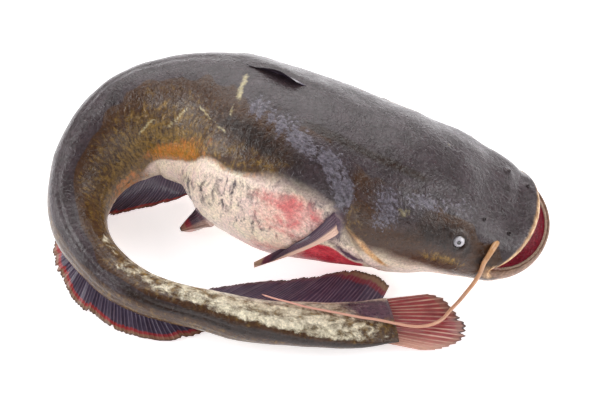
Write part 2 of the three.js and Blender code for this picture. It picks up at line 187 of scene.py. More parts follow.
def skinPoint(u, degrees, offset=0.0):
    # centre + left * width * cos + back * height * sin, squared off below; 0 is the fish's left
    # side, 90 its back, 180 its right side and 270 its belly
    u, degrees = np.asarray(u, float), np.asarray(degrees, float)
    centre, forward, left, back = backboneFrame(u)
    width, up, down, square = (smoothThrough(bodySections[:, k], u) for k in (3, 4, 5, 7))
    cosine, sine = np.cos(np.radians(degrees)), np.sin(np.radians(degrees))
    upper = sine >= 0
    power = np.where(upper, 1, 2 / square)
    across = (width + offset) * signedPower(cosine, power)
    height = (np.where(upper, up, down) + offset) * signedPower(sine, power)
    return centre + left * across[..., None] + back * height[..., None]


def mouthFrame():
    centre, forward, left, back = backboneFrame(float(lastSection))
    ahead = unit(forward * np.array([1, 1, 0]))
    return centre, ahead, np.cross(np.array([0, 0, 1.0]), ahead)


def lipRim(degrees):
    # how far ahead, left and up the rim of the mouth lies: an arc for the lip, a longer one for the jaw
    sine = np.sin(np.radians(degrees))
    share = np.abs(sine)
    upper = sine >= 0
    reach = np.where(upper, mouth["upperReach"], mouth["jawReach"]) - mouth["cornerReach"]
    rise = np.where(upper, mouth["upperRise"], mouth["jawRise"]) - mouth["cornerRise"]
    roundness = np.where(upper, mouth["upperRoundness"], mouth["jawRoundness"])
    lift = np.where(upper, share, share ** mouth["jawFullness"])
    ahead = mouth["cornerReach"] + reach * share ** roundness
    return ahead, mouth["halfWidth"] * np.cos(np.radians(degrees)), mouth["cornerRise"] + rise * lift


def mouthPoint(ahead, left, up):
    centre, forward, side = mouthFrame()
    point = centre + ahead[..., None] * forward + left[..., None] * side
    return point + np.array([0, 0, 1.0]) * up[..., None]


def snoutPoint(share, degrees):
    # a cubic curve from the last section, which runs on from the trunk's slope, to the rim, which it
    # meets square on
    centre, forward, side = mouthFrame()
    start = skinPoint(float(lastSection), degrees)
    slope = unit(start - skinPoint(lastSection - 0.1, degrees))
    end = mouthPoint(*lipRim(degrees))
    away = start - end
    leave = start + slope * mouth["slopeReach"] * np.linalg.norm(away, axis=-1, keepdims=True)
    away = away - (away @ forward)[..., None] * forward
    arrive = end + mouth["rimReach"] * away
    t = np.asarray(share, float)[..., None]
    return (1 - t) ** 3 * start + 3 * (1 - t) ** 2 * t * leave + 3 * (1 - t) * t ** 2 * arrive + t ** 3 * end


def surfacePoint(place, degrees):
    # on the trunk up to the last section, then on the snout
    if place <= lastSection:
        return skinPoint(place, degrees)
    return snoutPoint(place - lastSection, degrees)


# From the rim inwards: share of the rim's size, lift of the roof, lift of the floor, step back.
# The lower jaw has a fleshy lip, then a band of teeth, then the floor of the mouth.
mouthLining = np.array([
    [1.00, 0.0, 0.0, 0], [0.99, -0.6, 0.7, 0], [0.975, -0.9, 1.2, 0], [0.96, -0.9, 1.2, 0],
    [0.945, -0.5, 0.7, 0], [0.93, -0.1, 0.2, 0], [0.915, 0.2, 0.4, 0], [0.90, 0.5, 0.1, 0],
    [0.87, 1.2, -0.7, 0], [0.82, 2.0, -1.4, 0], [0.75, 3.0, -2.2, -1], [0.64, 4.2, -3.2, -4],
    [0.50, 4.8, -4.4, -11], [0.36, 4.2, -4.8, -22], [0.24, 3.0, -4.2, -33], [0.14, 1.5, -2.5, -44],
])


def liningPoint(inward, degrees):
    # a shrunken copy of the rim, set back and lifted, that keeps the rim's height near the lips
    share, roof, floor, back = np.moveaxis(smoothThrough(mouthLining, inward), -1, 0)
    rimAhead, rimLeft, rimUp = lipRim(degrees)
    root = mouth["cornerReach"] - mouth["setback"]
    keep = share + (1 - share) * smoothStep(share, 0.55, 0.8)
    sine = np.sin(np.radians(degrees))
    lift = np.where(sine >= 0, roof, floor) * np.sqrt(np.abs(sine))
    ahead = root + (rimAhead - root) * share + back
    up = mouth["cornerRise"] + (rimUp - mouth["cornerRise"]) * keep + lift
    return mouthPoint(ahead, rimLeft * share, up)


eye = {"section": 19.5, "angle": 155, "radius": 4.9, "inset": 3.2}

# The frame's own eye says where its millimetres start
eyeLow, eyeHigh = (np.array(corner) * 1000 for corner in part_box("eye_right"))
shift = (eyeLow + eyeHigh) / 2 - skinPoint(eye["section"], eye["angle"], -eye["inset"])


def placed(points):
    # millimetres around the backbone to metres in the frame
    return (points + shift) / 1000


def onTable(points, depth=3.0):
    # flesh that would sink below the surface is pressed flat: depth * exp((z - depth) / depth)
    points = points.copy()
    z = points[..., 2]
    points[..., 2] = np.where(z > depth, z, depth * np.exp(np.minimum(z - depth, 0) / depth))
    return points


def addObject(name, data):
    thing = bpy.data.objects.new(name, data)
    bpy.context.scene.collection.objects.link(thing)
    return thing


def meshPiece(name, points, material, uv=None, marks=None, replaced=()):
    # rows of points, closed round each row, with a fan to the middle of the first and last row.
    # uv is given with one more column than the points, so the seam doesn't stretch.
    rows, columns = points.shape[:2]
    vertices = np.concatenate([points.reshape(-1, 3), points[:1].mean(1), points[-1:].mean(1)])
    i, j = np.meshgrid(np.arange(rows - 1), np.arange(columns), indexing="ij")
    k = (j + 1) % columns
    quads = np.stack([i * columns + j, i * columns + k, (i + 1) * columns + k, (i + 1) * columns + j], -1)
    j = np.arange(columns)
    k = (j + 1) % columns
    first = np.stack([np.full(columns, rows * columns), k, j], -1)
    lastRow = (rows - 1) * columns
    last = np.stack([np.full(columns, rows * columns + 1), lastRow + j, lastRow + k], -1)
    mesh = bpy.data.meshes.new(name)
    faces = quads.reshape(-1, 4).tolist() + first.tolist() + last.tolist()
    mesh.from_pydata(placed(vertices).tolist(), [], faces)
    mesh.polygons.foreach_set("use_smooth", np.ones(len(faces), bool))
    if uv is not None:
        corners = [np.stack([uv[:-1, :-1], uv[:-1, 1:], uv[1:, 1:], uv[1:, :-1]], 2).reshape(-1, 2)]
        for row, ends in ((uv[0], (slice(1, None), slice(-1))), (uv[-1], (slice(-1), slice(1, None)))):
            middle = np.broadcast_to(row.mean(0), (columns, 2))
            corners.append(np.stack([middle, row[ends[0]], row[ends[1]]], 1).reshape(-1, 2))
        layer = mesh.uv_layers.new(name="UVMap")
        layer.data.foreach_set("uv", np.concatenate(corners).astype(np.float32).ravel())
    for mark, values in (marks or {}).items():
        values = np.broadcast_to(values, (rows, columns))
        values = np.concatenate([values.ravel(), [values[0].mean(), values[-1].mean()]])
        attribute = mesh.attributes.new(mark, "FLOAT", "POINT")
        attribute.data.foreach_set("value", values.astype(np.float32))
    mesh.update()
    return ridingPiece(name, mesh, material, replaced)


def ridingPiece(name, mesh, material, replaced=()):
    mesh.materials.append(material)
    piece = addObject(name, mesh)
    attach(piece, "root")
    if replaced:
        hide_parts(*replaced)
    return piece


# ---- materials


def newMaterial(name, values):
    # a material whose shader holds these plain values
    material = bpy.data.materials.new(name)
    material.use_nodes = True
    tree = material.node_tree
    shader = tree.nodes["Principled BSDF"]
    for socket, value in values.items():
        shader.inputs[socket].default_value = value
    return material, tree, shader


asColour = {"data_type": "RGBA"}   # a mix of two colours rather than two numbers

skinLook = {
    "coat": 0.3, "coatRoughness": 0.1, "ior": 1.38,
    "bleed": 0.06, "bleedReach": (0.004, 0.0018, 0.001),   # light under the skin, metres by colour
    "rippleSize": 2.8, "rippleHeight": 0.0008,   # millimetres across, metres high
    "grainSize": 0.9, "grainHeight": 0.00012,
    "base": "2a1407", "baseLight": "4a2d14",
}

# Paint over the flank, one layer on another: mark, colour, second colour, the size in millimetres
# of the patches that mix the two, their stretch round the body, how much of the layer the patches
# eat away, and how sharply
skinLayers = [
    ("gold", "82632a", "3c2a13", 3.6, 1.6, 1.1, 1.2),
    ("mottle", "dad0b8", "7b705a", 8.0, 0.8, 1.8, 1.1),
    # grey back: dark grey-purple colour with a painted sheen over it, ending in a crisp edge
    ("greyAndSheen", "3f3337", "2a1f21", 12.0, 1.0, 0.5, 1.5),
    ("belly", "e2d3ba", "dabfb6", 15.0, 1.0, 0.2, 0.8),
    ("blotch", "4a3f44", "8b7a76", 5.0, 2.2, 2.0, 1.2),
    # painted glints: lilac-grey patches that stand in for broken wet highlights
    ("paintedGlint", "6a636d", "3f393f", 2.8, 1.0, 1.45, 2.0),
    ("orange", "b56d2c", "8a6626", 4.0, 2.0, 1.3, 1.0),
    ("blush", "c66a68", "d89c92", 8.0, 1.2, 1.3, 0.6),
    ("tan", "dcb68a", "b07c4a", 6.0, 1.0, 0.5, 0.8),
    ("red", "b01a30", "d04a54", 9.0, 1.0, 0.4, 0.8),
    ("dark", "1e0f08", "2e1e18", 5.0, 1.5, 0.7, 1.2),
    ("purple", "3f2c40", "6a4a5c", 4.0, 1.0, 0.7, 1.0),
    ("pale", "b3a476", "cfc4a2", 3.0, 1.0, 0.8, 1.0),
    ("lip", "6a4c3c", "94745e", 4.0, 1.0, 0.3, 1.0),
    ("gum", "a8303f", "7a1c30", 2.2, 1.0, 0.4, 1.0),
    ("toothBand", "c9b0a0", "a8786c", 2.0, 1.0, 0.5, 1.0),
]


def scalelessSkin():
    # Wet scaleless fish skin under a coat of slime: the coat gives sharp white glints, the skin under it a
    # broad grey sheen, and the colour shifts from dark back to olive flank and cream belly. A grey sheen
    # along the back and broken wet glints on the head are also painted into the colour.
    look = skinLook
    material, tree, shader = newMaterial("wetScalelessSkin", {
        "IOR": look["ior"], "Coat Weight": look["coat"], "Coat Roughness": look["coatRoughness"],
        "Subsurface Weight": look["bleed"], "Subsurface Radius": look["bleedReach"],
    })
    place = {"Vector": addNode(tree, "TexCoord").outputs["Object"]}
    along = addNode(tree, "UVMap", {"uv_map": "UVMap"})
    warp = addNode(tree, "TexNoise", {"Scale": perMm(7), "Detail": 5.0, "Roughness": 0.6}, place)
    colour = addNode(tree, "Mix", {**asColour, 6: look["base"], 7: look["baseLight"]}, {0: warp})
    for mark, first, second, size, stretch, bite, sharp in skinLayers:
        mask = addNode(tree, "Attribute", {"attribute_name": mark}).outputs["Fac"]
        squeezed = addNode(tree, "Mapping", {"Scale": (1, 1 / stretch, 1)}, {"Vector": along})
        patch = addNode(tree, "TexNoise", {"Scale": perMm(size), "Detail": 6.0, "Roughness": 0.7,
                                           "Distortion": 0.4}, {"Vector": squeezed})
        spread = addNode(tree, "MapRange", {1: 0.38, 2: 0.62}, {0: patch})
        tint = addNode(tree, "Mix", {**asColour, 6: second, 7: first}, {0: spread})
        eaten = addNode(tree, "MapRange", {1: 0.3, 2: 0.7, 3: -bite * sharp, 4: 0.0}, {0: patch})
        cover = addNode(tree, "Math", {"operation": "MULTIPLY_ADD", "use_clamp": True, 1: 1 + sharp},
                        {0: mask, 2: eaten})
        colour = addNode(tree, "Mix", asColour, {0: cover, 6: colour, 7: tint})
    speck = addNode(tree, "TexNoise", {"Scale": perMm(1.6), "Detail": 3.0, "Roughness": 0.7}, place)
    fleck = addNode(tree, "MapRange", {1: 0.35, 2: 0.65, 3: 0.72, 4: 1.28}, {0: speck})
    value = addNode(tree, "HueSaturation", {}, {"Color": colour, "Value": fleck})
    rough = addNode(tree, "MapRange", {1: 0.3, 2: 0.7, 3: 0.22, 4: 0.46}, {0: warp})
    ripple = addNode(tree, "TexNoise", {"Scale": perMm(look["rippleSize"]), "Detail": 4.0,
                                        "Roughness": 0.55, "Distortion": 0.8}, place)
    grain = addNode(tree, "TexNoise", {"Scale": perMm(look["grainSize"]), "Detail": 2.0}, place)
    coarse = addNode(tree, "Bump", {"Strength": 0.8, "Distance": look["rippleHeight"]}, {"Height": ripple})
    fine = addNode(tree, "Bump", {"Strength": 0.5, "Distance": look["grainHeight"]},
                   {"Height": grain, "Normal": coarse})
    feed(tree, shader, {"Base Color": value, "Roughness": rough, "Normal": fine, "Coat Normal": fine})
    return material


# Colours of the fins: web, lighter web, ray, red band, margin, tip and spine
webbings = {
    "wetDarkWebbing": ("2a2236", "5d5068", "917f92", "b03a3c", "937a62", "2c241f", "3a3430"),
    "wetRedWebbing": ("6a2832", "ab4a4a", "dcb8a6", "a03c3c", "85695a", "231d20", "cf9f8c"),
    "wetPurpleWebbing": ("2e2236", "543646", "86606c", "b03440", "b08f74", "1d191a", "e2baa6"),
}


def finWebbing(name, web, webLight, ray, band, margin, tip, spineColour):
    # Wet webbing stretched on fine rays: dark and glossy between rays, paler along each ray, with a
    # blood red band and a dry ragged edge. U counts rays, V is the share of the way out.
    material, tree, shader = newMaterial(name, {
        "Roughness": 0.33, "IOR": 1.4, "Coat Weight": 0.35, "Coat Roughness": 0.12,
    })
    uv = addNode(tree, "UVMap", {"uv_map": "UVMap"})
    place = {"Vector": addNode(tree, "TexCoord").outputs["Object"]}
    split = addNode(tree, "SeparateXYZ", {}, {0: uv})
    fromEdge, redBand, margins, darkTip, spine = (
        addNode(tree, "Attribute", {"attribute_name": mark}).outputs["Fac"]
        for mark in ("fromEdge", "redBand", "margin", "darkTip", "spine"))
    streaks = addNode(tree, "Mapping", {"Scale": (1, 2.2, 1)}, {"Vector": uv})
    cloud = addNode(tree, "TexNoise", {"Scale": 0.9, "Detail": 4.0, "Roughness": 0.65}, {"Vector": streaks})
    blot = addNode(tree, "TexNoise", {"Scale": perMm(6), "Detail": 4.0, "Roughness": 0.6}, place)
    skin = addNode(tree, "Mix", {**asColour, 6: web, 7: webLight}, {0: blot})
    # a ray runs where U is half way between two whole numbers
    wave = addNode(tree, "Math", {"operation": "FRACT"}, {0: split.outputs["X"]})
    centred = addNode(tree, "Math", {"operation": "SUBTRACT", 1: 0.5}, {0: wave})
    apart = addNode(tree, "Math", {"operation": "ABSOLUTE"}, {0: centred})
    line = addNode(tree, "MapRange", {1: 0.07, 2: 0.24, 3: 1.0, 4: 0.0}, {0: apart})
    worn = addNode(tree, "MapRange", {1: 0.38, 2: 0.66, 3: 0.1, 4: 0.85}, {0: cloud})
    shown = addNode(tree, "Math", {"operation": "MULTIPLY"}, {0: line, 1: worn})
    colour = addNode(tree, "Mix", {**asColour, 7: ray}, {0: shown, 6: skin})
    # bands in millimetres from the edge, shaken by the clouds
    shaken = addNode(tree, "MapRange", {3: -0.9, 4: 0.9}, {0: blot})
    edge = addNode(tree, "Math", {"operation": "ADD"}, {0: fromEdge, 1: shaken})
    bands = (6.4, 5.2, band, redBand), (3.7, 2.8, margin, margins), (1.5, 0.3, tip, darkTip)
    for inner, outer, paint, weight in bands:
        zone = addNode(tree, "MapRange", {1: outer, 2: inner, 3: 0.92, 4: 0.0}, {0: edge})
        amount = addNode(tree, "Math", {"operation": "MULTIPLY"}, {0: zone, 1: weight})
        colour = addNode(tree, "Mix", {**asColour, 7: paint}, {0: amount, 6: colour})
    colour = addNode(tree, "Mix", {**asColour, 7: spineColour}, {0: spine, 6: colour})
    ridges = addNode(tree, "Bump", {"Strength": 0.6, "Distance": 0.0003}, {"Height": line})
    feed(tree, shader, {"Base Color": colour, "Normal": ridges})
    return material


def barbelSkin():
    # Wet feeler skin: orange and tan along the top, pinker where it is thin, with faint rings
    material, tree, shader = newMaterial("wetBarbelSkin", {
        "Roughness": 0.35, "Coat Weight": 0.4, "Coat Roughness": 0.1,
    })
    uv = addNode(tree, "UVMap", {"uv_map": "UVMap"})
    place = {"Vector": addNode(tree, "TexCoord").outputs["Object"]}
    split = addNode(tree, "SeparateXYZ", {}, {0: uv})
    cloud = addNode(tree, "TexNoise", {"Scale": perMm(5), "Detail": 3.0}, place)
    root = addNode(tree, "Mix", {**asColour, 6: "8d6238", 7: "cf9a63"}, {0: cloud})
    colour = addNode(tree, "Mix", {**asColour, 7: "dba294"}, {0: split.outputs["X"], 6: root})
    rings = addNode(tree, "TexNoise", {"Scale": perMm(1.2), "Detail": 2.0}, place)
    ridges = addNode(tree, "Bump", {"Strength": 0.4, "Distance": 0.0002}, {"Height": rings})
    feed(tree, shader, {"Base Color": colour, "Normal": ridges})
    return material


def eyeTissue():
    # Clear cornea over the iris: a pale silver ring with grey flecks and a small black pupil
    material, tree, shader = newMaterial("corneaOverSilverIris", {
        "Roughness": 0.25, "Coat Weight": 1.0, "Coat Roughness": 0.03,
    })
    turn = addNode(tree, "Attribute", {"attribute_name": "fromPupil"}).outputs["Fac"]
    place = {"Vector": addNode(tree, "TexCoord").outputs["Object"]}
    fleck = addNode(tree, "TexNoise", {"Scale": perMm(0.8), "Detail": 3.0}, place)
    shaken = addNode(tree, "MapRange", {3: -3.0, 4: 3.0}, {0: fleck})
    angle = addNode(tree, "Math", {"operation": "ADD"}, {0: turn, 1: shaken})
    colour = addNode(tree, "Mix", {**asColour, 6: "8f8a92", 7: "e2dfe4"}, {0: fleck})
    # degrees from the pupil's middle: grey inner iris, black pupil, then the dark rim of the socket
    zones = [
        (22.0, 32.0, 1.0, 0.0, "a9a4ae"), (16.0, 18.0, 1.0, 0.0, "030203"),
        (50.0, 62.0, 0.0, 1.0, "4a4238"),
    ]
    for low, high, atLow, atHigh, paint in zones:
        zone = addNode(tree, "MapRange", {1: low, 2: high, 3: atLow, 4: atHigh}, {0: angle})
        colour = addNode(tree, "Mix", {**asColour, 7: paint}, {0: zone, 6: colour})
    feed(tree, shader, {"Base Color": colour})
    return material


skinMaterial = scalelessSkin()
darkWebbing, redWebbing, pairedWebbing = (finWebbing(name, *paints) for name, paints in webbings.items())
barbelMaterial = barbelSkin()
eyeMaterial = eyeTissue()
print("materials made")

# ---- the body

bodyShape = {
    "columns": 236, "tailRows": 12, "trunkRows": 19, "headRows": 28,   # rows are for each section
    "trunkFrom": 13, "headFrom": 18.5, "snoutRows": 24, "liningRows": 36,
}


def bodyGrid():
    # rows along the backbone, then round the snout, then into the mouth, with the place of each row:
    # up to 21 on the trunk, 21 to 22 on the snout and 22 to 23 in the mouth
    shape = bodyShape
    trunk = np.concatenate([
        np.arange(0, shape["trunkFrom"], 1 / shape["tailRows"]),
        np.arange(shape["trunkFrom"], shape["headFrom"], 1 / shape["trunkRows"]),
        np.arange(shape["headFrom"], lastSection + 1e-6, 1 / shape["headRows"]),
    ])
    degrees = -90 + 360 * np.arange(shape["columns"]) / shape["columns"]
    shares = np.arange(1, shape["snoutRows"] + 1) / shape["snoutRows"]
    inward = (np.arange(1, shape["liningRows"] + 1) / shape["liningRows"]) ** 1.2
    rows = [
        skinPoint(trunk[:, None], degrees[None]),
        snoutPoint(shares[:, None], degrees[None]),
        liningPoint(inward[:, None] * (len(mouthLining) - 1), degrees[None]),
    ]
    places = np.concatenate([trunk, lastSection + shares, lastSection + 1 + inward])
    return np.concatenate(rows), places[:, None], degrees[None]


def distanceTo(points, start, end):
    # millimetres from each point to the straight stroke between two points
    line = end - start
    share = np.clip(((points - start) @ line) / (line @ line), 0, 1)
    return np.linalg.norm(points - start - share[..., None] * line, axis=-1)


def curveOf(table, x):
    # value read off a table of pairs by straight lines
    table = np.array(table, float)
    return np.interp(x, table[:, 0], table[:, 1])


def spots(place, angle, rows):
    # one soft oval for each row of weight, section, its length, degrees and their spread: a bell
    # along the backbone times a bell round the body
    return [weight * hump(place - section, length) * hump(angle - middle, spread)
            for weight, section, length, middle, spread in rows]


def strongest(layers):
    return functools.reduce(np.maximum, layers)


def between(x, rise, full, fade, gone):
    # 0, then a smooth rise to 1, then a smooth fall back to 0
    return smoothStep(x, rise, full) * (1 - smoothStep(x, fade, gone))


# Degrees from the back where the belly's colour starts, by section
bellyLine = [(0, 150), (9, 138), (11, 118), (11.6, 112), (12.9, 105), (13.96, 91), (14.7, 79), (15.2, 75),
             (15.6, 71), (15.9, 68), (16.3, 66), (16.65, 70), (16.9, 86), (17.3, 92), (17.8, 96),
             (18.6, 99), (19.6, 104), (21, 110), (22, 112), (23, 112)]
# Section of the gill cover's rear edge, by degrees from the back
gillEdge = [(0, 17.5), (37, 17.17), (44, 16.99), (54, 16.87), (66, 16.84), (76, 16.87), (88, 17.04),
            (98, 17.22), (112, 17.46), (130, 17.95), (150, 18.6), (180, 19.3)]
# Each scar: where it starts and ends, in sections and degrees, and its width in millimetres
scars = [
    ((14.38, 106), (14.52, 124), 2.4), ((14.5, 118), (14.56, 138), 1.1), ((13.28, 145), (12.84, 162), 0.9),
    ((13.63, 142), (14.68, 149), 0.8), ((12.41, 155), (11.88, 162), 0.9),
]
nostrils = {
    "nostrilRearRight": (20.16, 123), "nostrilRearLeft": (20.55, 62),
    "nostrilFrontRight": (21.12, 121), "nostrilFrontLeft": (21.35, 62),
}


def fromEyes(points):
    for angle in (eye["angle"], 180 - eye["angle"]):
        yield np.linalg.norm(points - skinPoint(eye["section"], angle), axis=-1)


def fromNostrils(points):
    for section, angle in nostrils.values():
        yield np.linalg.norm(points - surfacePoint(section, angle), axis=-1)


# Simple swellings and hollows: millimetres, section, length, degrees from the back, spread
swellings = [
    (1.8, 16.25, 0.33, 66, 26),   # shoulder bone behind the gill opening
    (1.6, 18.4, 0.7, 74, 20), (-1.3, 20.7, 0.5, 76, 9),   # cheek muscle, and the hollow behind the lip
    (-1.6, 16.8, 0.28, 110, 14), (2.0, 13.62, 0.14, 176, 7),   # arm pit and vent
    (0.7, 15.2, 0.6, 0, 7), (-0.6, 5.5, 2.3, 40, 6),   # base of the back fin, furrow over the tail
]
# Furrows: depth, degrees from the back, spread, sections of start and full depth, of the end, and
# how many sections it takes to fade there
furrows = [
    (0.5, 0, 5, 2, 4, 14.6, 1),   # along the middle of the back
    (0.35, 84, 2.4, 1, 3, 16.4, 1), (0.9, 128, 5, 0.2, 1, 11, 2),   # side line, and above the long fin
]
sectionLength = 29   # millimetres of trunk from one section to the next


def bodyDetail(points, place, degrees):
    # millimetres that the skin stands out from the plain section, one feature added to another
    fromBack = np.abs(degrees - 90)
    lift = 0.45 * softNoise(points, 46, 11) + 0.16 * softNoise(points, 15, 12)
    lift = lift + sum(spots(place, fromBack, swellings))
    # gill cover: bulges ahead of its rear edge and drops sharply behind it
    mm = (place - curveOf(gillEdge, fromBack)) * sectionLength
    reach = smoothStep(fromBack, 32, 58) * (1 - 0.55 * smoothStep(fromBack, 120, 170))
    cover = np.where(mm > 0, 1.9 * np.exp(-np.maximum(mm, 0) / 20) * smoothStep(mm, 0, 1.6), 0)
    behind = np.where(mm < 1.6, -1.7 * np.exp(-np.maximum(1.6 - mm, 0) / 5.5), 0)
    lift = lift + reach * (cover + behind * smoothStep(1.6 - mm, 0, 1.2))
    # belly: sags out below a crease along the flank
    below = fromBack - curveOf(bellyLine, place)
    sag = 1.3 * smoothStep(below, -1, 14) - 1.2 * hump(below, 3.5)
    lift = lift + smoothStep(place, 11.4, 12.6) * smoothStep(16.6 - place, 0, 0.7) * sag
    # muscle blocks: fine grooves across the flank that bend back as a shallow V
    along = place * sectionLength + 9 * np.abs(fromBack - 70) / 70
    groove = 0.5 + 0.5 * np.cos(along * 2 * math.pi / 6.2)
    muscle = 0.07 + spots(place, degrees, [(0.34, 15.1, 0.9, 126, 16)])[0]
    muscle = muscle * smoothStep(place, 2, 4) * smoothStep(17 - place, 0, 0.8) * smoothStep(fromBack, 8, 25)
    lift = lift - muscle * groove ** 2 * (1 - smoothStep(below, -12, 0))
    # belly wall: loose folds near the vent
    folds = 0.5 + 0.5 * np.sin(place * sectionLength * 2 * math.pi / 5.4 + 2 * softNoise(points, 30, 14))
    lift = lift + 0.75 * folds * hump(place - 13.85, 0.55) * smoothStep(below, 2, 12)
    for depth, middle, spread, start, full, end, fall in furrows:
        ends = smoothStep(place, start, full) * smoothStep(end - place, 0, fall)
        lift = lift - depth * hump(fromBack - middle, spread) * ends
    # skull: flat crown and a raised bar over each eye
    lift = lift - 1.3 * hump(fromBack, 22) * smoothStep(place, 18, 19.6)
    lift = lift + 0.9 * hump(fromBack - 44, 9) * smoothStep(place, 18.2, 19.4)
    # throat: the folds of the gill membrane run forward under the jaw
    rays = 0.5 + 0.5 * np.cos(fromBack * 2 * math.pi / 7.5 + 1.6 * (place - 18))
    throat = smoothStep(fromBack, 112, 130) * (1 - hump(fromBack - 180, 16))
    lift = lift + 0.7 * rays * hump(place - 18.7, 0.95) * throat
    # eye sockets: hollow for the ball, with a raised lid round it
    for apart in fromEyes(points):
        lift = lift - 3.0 * (1 - smoothStep(apart, 2.6, 4.9))
        lift = lift + 0.5 * hump(apart - 6.2, 1.6) - 0.2 * hump(apart - 9.4, 1.8)
    # nostrils: small pits on a low mound
    for apart in fromNostrils(points):
        lift = lift + 0.9 * hump(apart, 3.6) - 1.0 * hump(apart, 1.2)
    # the slit that the back fin folds into, and the scars
    slit = smoothStep(place, 14.3, 14.6) * smoothStep(15.75 - place, 0, 0.2)
    lift = lift - 0.8 * hump(degrees - 90.5, 2.2) * slit
    for start, end, width in scars:
        lift = lift - 0.25 * hump(distanceTo(points, skinPoint(*start), skinPoint(*end)), width * 1.3)
    fade = smoothStep(lastSection + 0.95 - place, 0, 0.5) * (0.35 + 0.65 * smoothStep(place, 0, 1.2))
    return lift * fade - 0.25


# Edge of the grey back, where its painted sheen ends, in degrees from the back, by section
backEdge = [(0, 4), (4, 8), (6, 16), (8, 28), (11, 34), (12.5, 27), (14.5, 28), (16, 34), (17, 40), (19, 42),
            (21, 50), (23, 60)]
# Spots of paint: weight, section, length, degrees, spread. Those of darkRight and purpleRoot count
# degrees round the whole body, the others from the back.
spotTable = {
    # painted sheen on the cheek
    "greyAndSheen": [(0.8, 17.9, 0.75, 52, 17)],
    # painted glints on the shoulder, gill cover and cheek
    "paintedGlint": [(0.9, 16.75, 0.2, 62, 14), (0.95, 17.55, 0.36, 62, 15), (0.7, 18.3, 0.7, 46, 9),
             (0.4, 19.5, 1.4, 34, 14)],
    "gold": [(0.75, 19.3, 0.9, 88, 7)],
    "purple": [(0.9, 16.72, 0.2, 84, 12)], "purpleRoot": [(1, 0.35, 0.75, 205, 34)],
    "tan": [(1, 21.45, 0.5, 88, 12)],
    "mottle": [(1, 6.9, 0.3, 62, 22), (1, 5.9, 0.4, 50, 16)],
    "dark": [(0.85, 19.2, 1.2, 66, 15), (0.95, 20.7, 0.22, 73, 7)],
    "darkRight": [(0.8, 15.2, 1.0, 142, 9), (0.8, 0.5, 0.75, 218, 26)],
}


